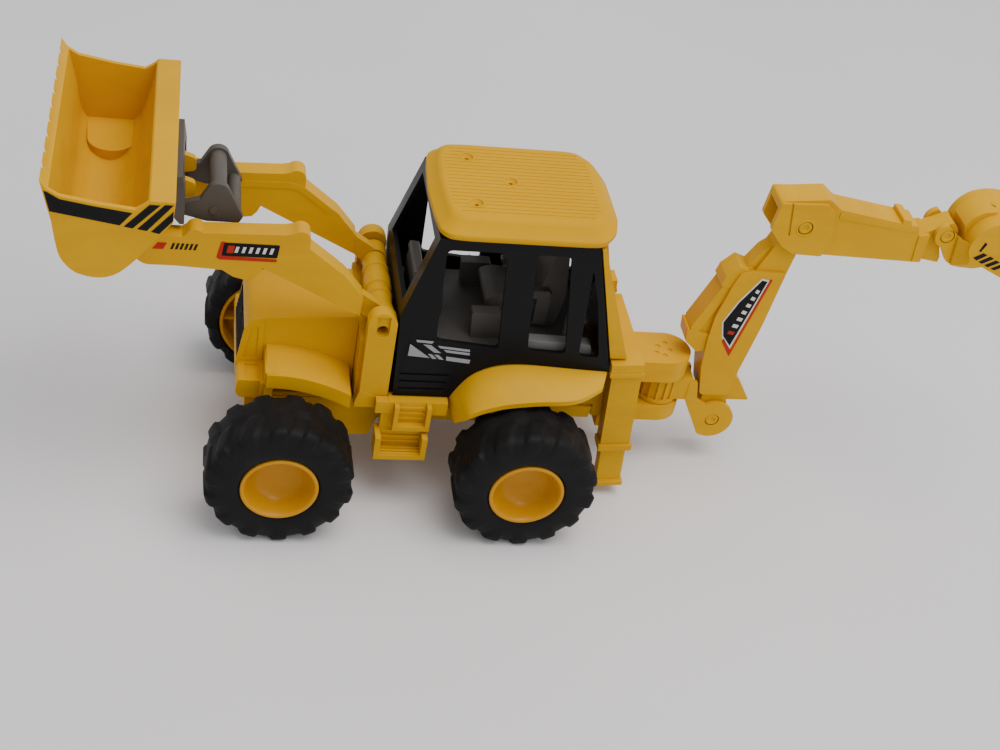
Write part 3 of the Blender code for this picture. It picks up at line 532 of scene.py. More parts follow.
def tyre_solid(x, side):
    """A lugged tyre: a full outer wall, and a wide open inner side."""
    outer_wall = [
        (14.9, 8.2, 0), (16.2, 9.0, 0), (16.2, 12.3, 0), (16.8, 13.1, 0), (18.0, 13.5, 0),
        (20.2, 13.5, 0), (22.4, 13.4, 0.05), (24.2, 13.1, 0.4),
    ]
    tread_half = [
        (25.6, 12.7, 0.8), (27.2, 12.2, 1), (28.6, 11.3, 1), (29.5, 9.8, 1), (29.8, 7.2, 1),
        (29.9, 4.4, 1), (29.9, 2.2, 1), (29.9, 0.8, 1),
    ]
    inner_wall = [
        (25.0, -13.1, 0.2), (24.4, -12.5, 0), (24.4, -1.4, 0), (22.8, 0.4, 0), (14.9, 4.4, 0),
    ]
    profile = [(r, p, w, 0) for r, p, w in outer_wall + tread_half]
    profile += [(r, -p, w, 1) for r, p, w in reversed(tread_half)]
    profile += [(r, p, w, 1) for r, p, w in inner_wall]
    pitch = 2 * math.pi / LUGS
    steps = LUGS * 14
    centre = side * (TYRE_INNER_Y + TYRE_HALF)
    mesh = bmesh.new()
    rings = []
    for i in range(steps):
        angle = 2 * math.pi * i / steps - math.pi / 2
        ring = []
        for radius, place, weight, row in profile:
            slant = 0.20 * (abs(place) - 6.0) / 8.0
            turn = ((angle + math.pi / 2) / pitch + 0.5 * row + slant + 0.5) % 1.0 - 0.5
            rise = weight * eased((0.30 - abs(turn)) / 0.10)
            tread = eased((radius - 24.0) / 3.5)
            r = min(radius + rise * (0.3 + 1.1 * tread), AXLE_HEIGHT)
            spread = min(rise * 0.7, TYRE_HALF - 0.03 - abs(place))
            y = centre + side * (place + math.copysign(spread, place))
            spot = at(x + r * math.cos(angle), y, AXLE_HEIGHT + r * math.sin(angle))
            ring.append(mesh.verts.new(spot))
        rings.append(ring)
    for a, b in zip(rings, rings[1:] + rings[:1]):
        for i in range(len(profile)):
            j = (i + 1) % len(profile)
            mesh.faces.new((a[i], a[j], b[j], b[i]))
    bmesh.ops.recalc_face_normals(mesh, faces=mesh.faces)
    return mesh


def rim_solid(x, side):
    """A deep smooth dish outside; inside, a wide cup with a hub and four ribs."""
    profile = [
        (0, 2.6), (4.0, 2.6), (7.0, 2.9), (9.2, 3.6), (10.9, 4.8), (12.1, 6.5), (12.9, 8.6),
        (13.6, 11.0), (14.1, 12.5), (14.4, 13.2), (14.8, 13.55), (15.6, 13.55), (16.0, 13.2),
        (16.0, 9.2), (14.6, 8.4), (14.6, 3.4), (22.6, -0.6), (24.1, -2.2), (24.1, -12.6),
        (23.8, -13.0), (22.8, -13.0), (22.5, -12.6), (22.3, -4.0), (21.2, -2.6), (14.0, -0.9),
        (11.4, -0.6), (9.4, -0.4), (5.2, 0.2), (4.6, -0.2), (4.4, -12.4), (4.0, -12.9),
        (2.4, -12.9), (2.3, -12.5), (2.3, 2.0), (0, 2.0),
    ]
    centre = side * (TYRE_INNER_Y + TYRE_HALF)
    placed = [(radius, centre + side * place) for radius, place in profile]
    depth = between(side, TYRE_INNER_Y + 3.6, TYRE_INNER_Y + TYRE_HALF - 0.8)
    ribs = []
    for a, b in ((4.4, 22.7), (-22.7, -4.4)):
        ribs.append(box((x + a, x + b), depth, (AXLE_HEIGHT - 0.6, AXLE_HEIGHT + 0.6)))
        ribs.append(box((x - 0.6, x + 0.6), depth, (AXLE_HEIGHT + a, AXLE_HEIGHT + b)))
    return joined(turned(placed, (x, AXLE_HEIGHT), 72), *ribs)


def make_wheels():
    for label, x in (("front", WHEELBASE), ("rear", 0.0)):
        for side, name in SIDES:
            tag = f"{label}_{name}"
            piece(f"{tag}_wheel_rim", rim_solid(x, side), f"{label}_wheels", RIM,
                  [f"{tag}_rim"], 0)
            piece(f"{tag}_wheel_tyre", tyre_solid(x, side), f"{label}_wheels", RUBBER,
                  [f"{tag}_tyre"], 0)
        bar = rod((x, AXLE_HEIGHT), 2.0, -57.2, 57.2)
        collars = [rod((x, AXLE_HEIGHT), 3.4, *between(side, 30.0, 33.0)) for side, _ in SIDES]
        piece(f"{label}_axle_bar", joined(bar, *collars), f"{label}_wheels", STEEL,
              [f"{label}_axle"], 0.3, 2)


# ---------------------------------------------------------------- lower body

def fender_arc(drop):
    line = [(110.0, 66.4), (103.0, 66.2), (96.0, 65.2), (88.0, 63.0), (81.0, 60.3), (74.6, 57.0)]
    return [(x, z - drop) for x, z in flowing(line, 4)]


def fender_strip(thick, drop):
    top = fender_arc(drop)
    return top + [(x, z - thick) for x, z in reversed(top)]


def make_hood():
    shape = [
        (72.6, BODY_FLOOR), (72.6, 82.2), (112.0, 79.4), (117.6, 77.6), (119.0, 73.6),
        (121.7, 56.2), (121.9, BODY_FLOOR),
    ]
    hood = prism(rounded(shape, 2.2), -17.2, 17.2)
    nose_band = [
        (111.4, BODY_FLOOR + 0.3), (111.4, 79.75), (117.6, 78.0), (119.5, 73.8), (122.2, 56.2),
        (122.2, BODY_FLOOR + 0.3),
    ]
    bumper = [(109.0, 47.2), (109.0, 56.4), (121.6, 56.4), (122.2, 50.0), (120.6, 47.2)]
    solids = [
        prism(rounded(nose_band, 2.0), -17.6, 17.6),
        prism(rounded(bumper, 1.4), -30.0, 30.0),
        box((108.2, 112.2), (-33.0, 33.0), (47.4, 57.6)),
        box((73.0, 112.0), (-26.9, 26.9), (BODY_FLOOR, 48.4)),
    ]
    for side, _ in SIDES:
        first = [(x, side * 14.2, z) for x, z in fender_strip(3.2, 0.0)]
        second = [(x, side * 34.6, z) for x, z in fender_strip(3.2, 2.4)]
        solids.append(stacked([first, second]))
        solids.append(prism(fender_strip(6.8, 2.0), *between(side, 33.2, 36.0)))
        front_end = [(106.4, 64.6), (110.6, 64.6), (110.6, 52.0), (107.4, 52.0)]
        solids.append(prism(front_end, *between(side, 17.0, 34.8)))
    pocket = [(75.0, 41.0), (75.0, 79.6), (107.0, 77.2), (107.6, 74.0), (107.6, 41.0)]
    tools = [prism(pocket, -14.8, 14.8)]
    for side, _ in SIDES:
        panel = rounded([(113.6, 58.6), (113.6, 75.0), (116.6, 74.2), (119.4, 58.6)], 0.8)
        tools.append(prism(panel, *between(side, 17.1, 19.0)))
        tools.append(box((113.0, 118.4), between(side, 18.9, 29.0), (55.7, 58.0)))
    grille_room = [(119.0, 57.4), (125.0, 57.4), (125.0, 72.8), (116.6, 72.8)]
    tools.append(prism(grille_room, -16.7, 16.7))
    body_piece("hood_shell", cut(joined(hood, *solids), *tools), "hood", 0.6)


def make_grille():
    plate = prism([(118.8, 57.9), (120.6, 57.9), (118.4, 72.3), (116.6, 72.3)], -16.4, 16.4)
    bars = []
    for i in range(6):
        z = 59.2 + 2.3 * i
        x = 120.6 - (z - 57.9) * 2.2 / 14.4
        bars.append(box((x - 1.0, x + 1.5), (-16.2, 16.2), (z - 0.5, z + 0.5)))
    bars.append(box((117.2, 120.4), (-0.6, 0.6), (58.4, 71.8)))
    piece("nose_grille", joined(plate, *bars), "tractor", BLACK, ["grille"], 0.2, 2)


def make_mast():
    tower = [(70.8, BODY_FLOOR), (70.8, 91.4)] + arc((64.8, 89.8), 6.0, 15, 165, 12)
    tower += [(58.8, 91.0), (58.8, BODY_FLOOR)]
    foot = [(57.6, BODY_FLOOR), (72.4, BODY_FLOOR), (72.4, 49.0), (70.7, 55.0), (59.0, 50.0)]
    solids = pair(tower, 26.6, 32.5) + pair(foot, 26.8, 32.7)
    bulkhead = box((61.4, 72.4), (-28.0, 28.0), (BODY_FLOOR + 0.4, 78.0))
    x, z = LOADER_PIVOT
    slot = arc(LOADER_PIVOT, 2.7, 180, 360, 8) + [(x + 2.7, z + 7.4), (x - 2.7, z + 7.4)]
    tools = [rod(LOADER_PIVOT, PIN_BORE, -40, 40)] + pair(slot, 31.3, 34.0)
    body_piece("mast_towers", cut(joined(bulkhead, *solids), *tools), "loader_mast", 0.7)
    pin = rod(LOADER_PIVOT, 1.9, -26.9, 26.9)
    piece("tower_pin", pin, "tractor", STEEL, ["loader_pivot_pin"], 0.3, 2)


def make_steps():
    for side, name in SIDES:
        sill = box((33.2, 58.4), between(side, 30.4, 37.0), (46.6, 53.2))
        ledge = box((50.0, 63.8), between(side, 32.9, 37.0), (46.9, 53.0))
        upper = box((40.2, 56.0), between(side, 35.0, 40.2), (40.0, 52.6))
        lower = box((40.6, 63.0), between(side, 33.4, 43.4), (26.4, 38.2))
        drop = box((42.0, 61.0), between(side, 33.0, 36.4), (30.0, 49.0))
        upper_room = box((42.2, 54.0), between(side, 36.8, 48.0), (42.2, 60.0))
        lower_room = box((43.0, 60.6), between(side, 36.8, 48.0), (28.8, 39.2))
        front_room = box((43.0, 60.6), between(side, 40.5, 48.0), (28.8, 60.0))
        solid = joined(sill, ledge, upper, drop, lower)
        solid = cut(solid, upper_room, lower_room, front_room)
        ribs = []
        for z in (31.4, 34.2, 37.0):
            ribs.append(box((43.4, 60.2), between(side, 36.6, 37.5), (z, z + 1.0)))
        for z in (44.4, 47.2, 50.0):
            ribs.append(box((42.6, 53.6), between(side, 36.6, 37.4), (z, z + 0.9)))
        for y in (38.2, 40.0, 41.8):
            ribs.append(box((42.8, 60.8), between(side, y, y + 0.9), (28.2, 29.4)))
        body_piece(f"step_{name}", joined(solid, *ribs), f"side_step_{name}", 0.35, 2)


# ---------------------------------------------------------------- cab

def fender_line():
    """Where the rear fender meets the cab's side, front to back."""
    return [
        (32.6, 53.8), (28.6, 61.5), (23.5, 67.6), (14.5, 72.0), (3.0, 73.2),
        (-17.0, 71.9), (-34.6, 70.6),
    ]


def cab_outline():
    sweep = flowing(fender_line(), 4)
    return [(46.8, CAB_TOP), (58.2, 95.5), (56.8, 53.8)] + sweep + [(-18.8, CAB_TOP)]


def narrowed(mesh):
    """The cab drawn in towards its roof."""
    start, end = 80.0 * MM, CAB_TOP * MM
    for vert in mesh.verts:
        share = max(0.0, (vert.co.z - start) / (end - start))
        vert.co.y *= 1 + share * (CAB_TOP_HALF / CAB_HALF - 1)
    return mesh


def make_cab():
    outer = cab_outline()
    lowered = [(x, z - 12 if z < 78 else z) for x, z in drawn_in(outer, 2.0)]
    shell = prism(outer, -CAB_HALF, CAB_HALF)
    room = prism(lowered, 2 - CAB_HALF, CAB_HALF - 2)
    windows = [
        [(43.2, 127.6), (42.2, 83.8), (15.4, 80.8), (18.6, 127.6)],
        [(6.6, 127.6), (3.0, 80.6), (-13.6, 79.6), (-7.7, 127.6)],
        [(-19.4, 78.8), (-28.4, 78.2), (-22.2, 108.0), (-17.8, 122.0)],
    ]
    tools = [room] + [prism(rounded(w, 2.4), -40, 40) for w in windows]
    screen = [(70.0, 98.4), (55.0, 98.4), (45.4, 128.8), (70.0, 128.8)]
    back = [(-50.0, 84.0), (-29.0, 84.0), (-17.5, 128.4), (-50.0, 128.4)]
    tools += [prism(screen, -26, 26), prism(back, -25, 25)]
    for z in (65.2, 61.3, 57.4):
        for side, _ in SIDES:
            start = 35.0 + (61.3 - z) * 0.2
            tools.append(box((start, 55.0), between(side, 32.45, 35.0), (z, z + 1.2)))
    piece("cab_body", narrowed(cut(shell, *tools)), "tractor", BLACK, ["cab_shell"], 0.5, 3)


def roof_plan():
    half = [
        (49.2, 0.0), (48.2, 18.0), (46.9, 28.0), (43.6, 31.8), (36.0, 32.6), (-14.0, 32.6),
        (-20.0, 31.8), (-26.2, 24.0), (-28.4, 14.0),
    ]
    return half + [(x, -y) for x, y in reversed(half[1:])]


def make_roof():
    base = rounded(roof_plan(), 3.4, 4)
    levels = [
        (133.1, 0.9), (133.6, 0.2), (134.4, 0.0), (135.8, 0.1), (136.3, 0.5), (136.6, 1.2),
        (138.4, 2.4), (140.2, 3.6), (141.2, 4.5), (141.75, 5.4), (142.0, 6.6),
    ]
    centre = 10.0
    rings = []
    for z, inset in levels:
        along, across = 1 - inset / 38.0, 1 - inset / 32.0
        rings.append([(centre + (x - centre) * along, y * across, z) for x, y in base])
    grooves = []
    for i in range(19):
        y = -23.4 + 2.6 * i
        reach = 3.0 if abs(y) > 20 else 0.0
        grooves.append(box((reach - 19.0, 42.0 - reach), (y - 0.26, y + 0.26), (141.85, 143.0)))
    dimple = [
        (0, 139.6), (0.8, 139.6), (0.9, 140.9), (1.8, 141.1), (2.7, 141.9), (2.9, 143.0),
        (0, 143.0),
    ]
    screws = ((31.9, 17.2), (31.9, -17.2), (15.6, 0.0))
    pads = [post(spot, 3.5, 140.0, 142.12, 28) for spot in screws]
    roof = joined(cut(stacked(rings), *grooves), *pads)
    roof = cut(roof, *[turned(dimple, spot, 28, "Z") for spot in screws])
    piece("roof_panel", roof, "tractor", ROOF, ["cab_roof"], 0.22, 2)


def make_interior():
    floor = box((-27.0, 52.0), (-28.0, 28.0), (74.6, 77.0))
    dash = [(44.0, 76.0), (51.4, 76.0), (52.2, 95.0), (50.8, 101.6), (47.6, 101.0)]
    cowl = [(46.4, 99.4), (52.0, 99.8), (51.2, 102.8), (47.4, 102.4)]
    column = [(36.0, 76.0), (44.6, 76.0), (45.4, 92.0), (36.5, 88.0)]
    panel = [(38.0, 84.0), (45.8, 84.6), (46.6, 91.4), (38.4, 88.4)]
    rail = [(-26.4, 76.0), (6.4, 76.0), (4.6, 82.6), (-25.0, 81.6)]
    lever = [(-19.6, 80.0), (-13.6, 80.0), (-14.4, 99.0), (-16.4, 102.0), (-18.6, 99.0)]
    console = [(11.0, 76.0), (25.4, 76.0), (26.4, 90.0), (13.4, 90.0)]
    solids = [
        prism(rounded(dash, 1.0), -10.5, 10.5), prism(rounded(cowl, 0.8), -11.4, 11.4),
        prism(rounded(column, 1.0), -4.5, 4.5),
    ]
    solids += pair(rounded(lever, 1.0), 20.0, 23.0) + pair(rounded(console, 1.2), 15.5, 21.0)
    piece("cab_trim", joined(floor, *solids), "tractor", GREY,
          ["cab_interior"], 0.5, 3)
    # Painted light: the panel and the side rails take the lighter copy of the trim grey.
    rails = [prism(rounded(panel, 0.8), -6.0, 6.0)] + pair(rounded(rail, 1.2), 23.5, 28.6)
    piece("cab_rails", joined(*rails), "tractor", LIT_GREY,
          ["cab_interior"], 0.4, 3)


def make_seat():
    seat = [
        (-12.6, 77.4), (14.0, 77.4), (18.5, 84.0), (20.3, 90.5), (14.0, 92.6), (-3.4, 90.0),
        (-3.0, 96.0), (-7.0, 115.8), (-12.6, 115.8), (-14.8, 95.0),
    ]
    armrest = [(-7.0, 94.0), (10.0, 93.0), (10.6, 96.4), (-7.0, 98.0)]
    prop = [(-8.0, 80.0), (-2.0, 80.0), (-2.0, 96.0), (-8.0, 96.0)]
    solids = pair(prop, 10.4, 13.4) + pair(rounded(armrest, 1.4), 10.6, 14.0)
    shell = joined(prism(rounded(seat, 2.6, 4), -11.4, 11.4), *solids)
    piece("seat_shell", shell, "tractor", GREY, ["driver_seat"], 0.9, 3)


def make_rear_fenders():
    inner = flowing([(32.4, 48.6)] + [(x, z - 0.3) for x, z in fender_line()], 5)
    lip = flowing([
        (30.4, 41.5, 48.4), (28.0, 46.0, 53.4), (25.6, 49.0, 57.6), (20.0, 49.4, 61.0),
        (11.0, 49.4, 64.0), (-1.4, 49.2, 65.8), (-18.4, 48.2, 66.8), (-31.0, 40.5, 67.8),
    ], 5)
    shares = [i / 9 for i in range(10)]
    for side, name in SIDES:
        rings = []
        for (x0, z0), (x1, y1, z1) in zip(inner, lip):
            top, under = [], []
            for share in shares:
                rise = 1.8 * math.sin(math.pi * share) + 0.35 * eased((share - 0.86) / 0.1)
                x = x0 + (x1 - x0) * share
                y = 30.4 + (y1 - 30.4) * share
                z = z0 + (z1 - z0) * share + rise
                top.append((x, side * y, z))
                under.append((x, side * y, z - 2.3))
            rings.append(top + under[::-1])
        body_piece(f"rear_wing_{name}", stacked(rings), f"rear_fender_{name}", 0.6)


# ---------------------------------------------------------------- rear body

def make_rear_body():
    deck = box((-50.0, 56.0), (-DECK_HALF, DECK_HALF), (BODY_FLOOR, 51.0))
    tail = box((-52.0, -33.6), (-DECK_HALF, DECK_HALF), (40.0, 70.0))
    keel = box((-52.0, -41.0), (-14.0, 14.0), (24.0, 41.0))
    panel = [(-37.7, 60.0), (-40.6, 60.0), (-23.0, 131.6), (-19.5, 131.6)]
    cheek = [(-34.0, 77.0), (-41.4, 77.0), (-21.2, 132.0), (-19.5, 132.0)]
    ridge = [(-53.4, 40.0), (-50.0, 40.0), (-50.0, 60.4), (-53.4, 60.4)]
    plan = [(-50.0, -11.2)] + arc((SWING_X, 0.0), 11.2, 270, 90, 28) + [(-50.0, 11.2)]
    plates = [slab(plan, 48.4, 59.6), slab(plan, 26.0, 34.2)]
    block = box((-51.2, -43.0), (-17.0, -10.8), (58.0, 67.6))
    solid = joined(tail, keel, deck, prism(panel, -DECK_HALF, DECK_HALF),
                   *pair(cheek, 25.0, 31.4), *plates, block, *pair(ridge, 11.0, 14.6))
    tools = [post((SWING_X, 0.0), PIN_BORE, 24.0, 57.0)]
    dimple = [(0, 58.9), (1.2, 59.1), (1.5, 61.0), (0, 61.0)]
    for spot in ((-64.8, 3.6), (-66.2, -1.2), (-71.4, 1.4), (-70.2, -3.6), (-68.2, 5.4)):
        tools.append(turned(dimple, spot, 16, "Z"))
    for i in range(5):
        x, z = -40.0 + 1.23 * i, 96.0 + 5.0 * i
        tools.append(box((x, x + 5.1), (-14.0, 14.0), (z, z + 1.6)))
    body_piece("rear_frame", cut(solid, *tools), "rear_body", 0.55)
    carried("swing_pin", STEEL)


def leaned(mesh):
    """A stabiliser built upright, tilted about its top."""
    x0, z0 = at(LEG_TOP[0], 0, LEG_TOP[1])[0], LEG_TOP[1] * MM
    for vert in mesh.verts:
        x, z = vert.co.x - x0, vert.co.z - z0
        vert.co.x = x0 + x * math.cos(LEG_TILT) + z * math.sin(LEG_TILT)
        vert.co.z = z0 - x * math.sin(LEG_TILT) + z * math.cos(LEG_TILT)
    return mesh


def make_stabilisers():
    x, z = LEG_TOP
    for side, name in SIDES:
        body = box((x - 6.6, x + 6.6), between(side, 26.0, 33.8), (z - 40.0, z + 1))
        cap = box((x - 6.9, x + 7.4), between(side, 26.2, 34.7), (z + 1.2, z + 6.2))
        step = box((x - 7.3, x + 7.7), between(side, 26.1, 35.1), (z - 0.4, z + 1.6))
        ring = box((x - 7.5, x + 7.5), between(side, 26.1, 34.9), (z - 42.6, z - 39.6))
        room = box((x - 6.0, x + 6.0), between(side, 26.8, 33.2), (z - 50, z - 3))
        sleeve = cut(joined(body, cap, step, ring), room)
        body_piece(f"stabiliser_tube_{name}", leaned(sleeve), f"stabiliser_sleeve_{name}", 0.6)
        bar = box((x - 5.7, x + 5.7), between(side, 27.1, 32.9), (z - 63.0, z - 18.0))
        foot = box((x - 6.6, x + 6.6), between(side, 26.2, 34.2), (z - 64.6, z - 62.0))
        arm_piece(f"stabiliser_foot_{name}", leaned(joined(bar, foot)), f"{name}_leg",
                  f"stabiliser_leg_{name}", 0.5)


# ---------------------------------------------------------------- loader

def arm_outline():
    rear = [(73.4, 98.6), (82.0, 109.3), (96.9, 121.4), (96.9, 125.6)]
    elbow = arc((100.7, 125.2), 4.0, 160, 45, 8)
    ridge = [(107.0, 127.3), (137.2, 126.2)]
    knuckle = arc((141.3, 124.0), 3.6, 145, 20, 8)
    tip = [(146.4, 123.9)] + arc(BUCKET_PIVOT, 7.0, 90, -80, 14)
    under = [(149.0, 110.2), (130.4, 109.2), (126.0, 106.2), (121.6, 105.0), (118.0, 105.6),
             (115.9, 108.0), (114.6, 111.0), (73.9, 89.5)]
    return rear + elbow + ridge + knuckle + tip + under


def both_ends(half):
    """A turned profile that is the same at both ends, from one end's corners."""
    return [(r, -y) for r, y in half] + [(r, y) for r, y in reversed(half)]


def make_arms():
    x, z = LOADER_PIVOT
    neck = [(x, z + 5.6), (73.5, 98.2), (77.0, 101.0), (77.0, 92.2), (x + 5, z - 1), (x, z - 5.4)]
    band = rounded([(84.0, 110.9), (97.6, 121.9), (103.0, 123.6), (138.0, 122.4), (138.0, 119.6),
                    (103.0, 120.6), (98.8, 119.4), (86.4, 109.4)], 1.0)
    for side, name in SIDES:
        plate = prism(arm_outline(), *between(side, 18.2, ARM_OUTER))
        solids = [
            prism(neck, *between(side, 18.6, 22.8)),
            rod(LOADER_PIVOT, 5.7, *between(side, 18.2, 25.8)),
            prism(band, *between(side, 17.9, 18.4)),
        ]
        tools = [rod(LOADER_PIVOT, PIN_BORE, -40, 40), rod(BUCKET_PIVOT, PIN_BORE, -25.2, 25.2)]
        arm = cut(joined(plate, *solids), *tools)
        arm_piece(f"lift_arm_{name}", arm, "loader", f"loader_arm_{name}", 0.7)
    half = [(PIN_BORE, 17.9), (5.0, 17.9), (5.2, 17.6), (5.2, 10.4), (5.7, 10.0), (5.7, 8.6),
            (5.2, 8.2), (5.2, 4.4), (5.9, 3.8)]
    tube = turned(both_ends(half), LOADER_PIVOT)
    arm_piece("cross_tube", tube, "loader", "loader_cross_tube", 0)
    pin = rod(BUCKET_PIVOT, 1.95, -24.9, 24.9)
    piece("bucket_hinge_pin", pin, "loader", STEEL, ["bucket_pivot_pin"], 0.3)


def bucket_curve():
    """The bucket's skin in side view, from the cutting edge to the rear rim."""
    return [(196.7, 163.2), (194.4, 153.0), (192.8, 146.0)] + flowing([
        (191.8, 138.6), (190.0, 130.6), (185.9, 125.0), (181.4, 122.8), (176.5, 122.1),
        (172.2, 122.9), (168.2, 125.4), (163.0, 130.9), (157.3, 138.6), (149.9, 148.2)], 4)


def corner_step(side, outline):
    """A low rounded step on the bucket's floor against its side wall."""
    bow = arc((176.0, 0.0), 9.6, 180, 360, 16)
    plan = [(186.6, side * 51.5), (165.4, side * 51.5)] + [(x, side * (35.0 + y)) for x, y in bow]
    limits = prism(drawn_in(outline, 0.6), -BUCKET_HALF, BUCKET_HALF)
    return combined("INTERSECT", slab(plan, 120.6, 128.6), [limits])


def make_bucket():
    skin = bucket_curve()
    outline = skin + [(149.2, 157.0), (158.2, 157.0), (160.6, 154.8), (163.4, 152.9),
                      (176.0, 154.4), (190.0, 157.0), (194.4, 159.8)]
    wall = 2.0
    floor_line = [p for p in drawn_in(outline, wall)[1:len(skin)] if p[0] > 164.5]
    hollow = [(194.9, 164.6)] + floor_line + [
        (160.8, 146.0), (158.9, 155.4), (158.9, 175.0), (194.9, 175.0)]
    room = prism(hollow, wall - BUCKET_HALF, BUCKET_HALF - wall)
    teeth = 10
    pitch = 2 * BUCKET_HALF / teeth
    notches = []
    for i in range(1, teeth):
        y = -BUCKET_HALF + i * pitch
        notch = [(188.0, y - 1.4), (201.0, y - 1.4), (201.0, y + 1.4), (188.0, y + 1.4)]
        notches.append(slab(notch, 161.7, 168.0))
    lug = arc(BUCKET_PIVOT, 5.2, 150, 320, 12) + [(171.0, 126.0), (162.5, 134.0)]
    tab = rounded([(141.6, 133.0), (150.0, 131.0), (160.0, 136.5), (154.6, 142.8), (142.0, 138.6)], 1.6)
    fittings = pair(lug, 15.6, 17.9) + pair(tab, 7.6, 10.6)
    shell = joined(prism(outline, -BUCKET_HALF, BUCKET_HALF), *fittings)
    shell = cut(shell, room, *notches, rod(BUCKET_PIVOT, PIN_BORE, -40, 40))
    shell = joined(shell, *[corner_step(side, outline) for side, _ in SIDES])
    arm_piece("front_bucket", shell, "bucket", "loader_bucket", 0.5)


def make_bracket():
    block = prism([(145.8, 126.6), (147.6, 126.6), (156.9, 138.4), (149.5, 148.0), (147.0, 148.0),
                   (145.8, 140.0)], -21.5, 21.5)
    window = box((130.0, 170.0), (-11.4, 11.4), (129.4, 144.6))
    top_bar = (133.2, 137.2)
    plate = arc(top_bar, 4.5, 165, 35, 10)
    plate += [(140.0, 134.2), (147.2, 131.8), (147.2, 127.0), (137.4, 124.4), (124.6, 124.4),
              (123.2, 127.0)]
    bosses = [rod((134.6, 129.6), 1.7, *between(side, 14.8, 15.5), 20) for side, _ in SIDES]
    tubes = [rod(top_bar, 3.4, -13.5, 13.5), rod((126.4, 127.6), 2.6, -14.6, 14.6)]
    bracket = joined(cut(block, window), *pair(plate, 11.8, 15.0), *bosses, *tubes)
    piece("coupler_bracket", bracket, "bucket", GREY, ["bucket_bracket"], 0.4, 3)


# ---------------------------------------------------------------- backhoe

def pin_solid(centre):
    """A plastic pin across a joint, with a domed head at each end."""
    half = [(0, 7.2), (1.2, 7.3), (1.6, 7.75), (2.6, 7.8), (3.05, 7.4)]
    return turned(both_ends(half), centre, 40)


def pin_hole(centre):
    return rod(centre, CAP_BORE, -20, 20)


def make_swing():
    drum = post((SWING_X, 0.0), 8.6, 34.6, 48.0, 56)
    ring = post((SWING_X, 0.0), 10.0, 34.6, 36.4, 56)
    collar = post((SWING_X, 0.0), 9.6, 46.6, 48.0, 56)
    web = prism([(SWING_X - 4, 36.0), (SWING_X - 4, 47.6), (-84.6, 47.6), (-86.4, 36.0)], -7.6, 7.6)
    ear = [(-82.6, 36.4), (-82.8, 46.0), (-86.6, 46.0), (-88.6, 36.0)]
    ear += arc(BOOM_PIVOT, 10.0, 60, 305, 26)
    ribs = []
    count = 16
    for i in range(count):
        turn = Matrix.Rotation(2 * math.pi * (i + 0.5) / count, 4, "Z")
        rib = box((-0.55, 0.55), (8.0, 9.5), (35.0, 47.6))
        for vert in rib.verts:
            local = vert.co - Vector((REAR_X, 0, 0))
            vert.co = turn @ local + Vector((REAR_X + SWING_X * MM, 0, 0))
        ribs.append(rib)
    solids = [ring, collar, *ribs, web, *pair(ear, EAR_INNER, EAR_OUTER)]
    tools = [post((SWING_X, 0.0), PIN_BORE, 30.0, 52.0), pin_hole(BOOM_PIVOT)]
    swing = cut(joined(drum, *solids), *tools)
    arm_piece("swing_knuckle", swing, "swing", "swing_post", 0.35, 2)
    arm_piece("boom_pivot_pin", pin_solid(BOOM_PIVOT), "swing", "boom_pin", 0)


def make_boom():
    beam = rounded([
        (-103.2, 38.5), (-104.6, 54.0), (-108.8, 80.0), (-111.4, 104.0), (-112.0, 108.0),
        (-98.6, 108.0), (-91.6, 107.0), (-89.4, 100.0), (-85.8, 83.0), (-85.4, 70.0),
        (-86.4, 54.0), (-89.4, 38.5),
    ], 1.6)
    crown = [(-111.6, 100.0), (-98.0, 100.0), (-98.2, 108.0), (-103.4, 121.0)]
    crown += arc(DIPPER_PIVOT, 7.0, -20, 200, 20) + [(-114.6, 121.0)]
    foot = [(-92.0, 40.0), (-102.0, 40.0)] + arc(BOOM_PIVOT, 8.0, 165, 375, 20)
    ram = rounded([
        (-97.0, 109.4), (-89.4, 107.4), (-86.9, 102.6), (-75.9, 74.0), (-76.6, 69.0),
        (-82.0, 63.6), (-88.0, 66.0), (-92.0, 90.0),
    ], 0.9)
    collar = rounded([(-90.8, 110.0), (-85.6, 104.4), (-84.4, 99.4), (-92.6, 97.0), (-96.0, 108.0)], 0.5)
    heel = rounded([(-75.2, 75.0), (-75.8, 68.2), (-82.2, 62.4), (-88.4, 64.4), (-86.4, 72.4)], 0.5)
    tail = rounded([(-100.0, 49.4), (-107.0, 46.6), (-115.0, 34.2), (-100.0, 34.0)], 0.8)
    rod_end = rounded([(-104.0, 121.4), (-99.2, 117.4), (-93.4, 107.0), (-99.0, 106.0)], 1.2)
    solids = [
        prism(outline, -half, half)
        for outline, half in ((crown, 4.9), (foot, 4.9), (ram, 4.6), (collar, 5.6), (heel, 5.5),
                              (tail, 4.0), (rod_end, 3.6))
    ]
    panel = rounded([(-90.4, 106.4), (-86.6, 101.6), (-76.2, 75.0), (-80.4, 72.8), (-90.6, 98.8)], 1.2)
    solids += pair(panel, 4.4, 5.3)
    boom = cut(joined(prism(beam, -BOOM_HALF, BOOM_HALF), *solids),
               pin_hole(BOOM_PIVOT), pin_hole(DIPPER_PIVOT))
    arm_piece("boom_beam", boom, "boom_arm", "boom", 0.55)
    arm_piece("dipper_pivot_pin", pin_solid(DIPPER_PIVOT), "boom_arm", "dipper_pin", 0)


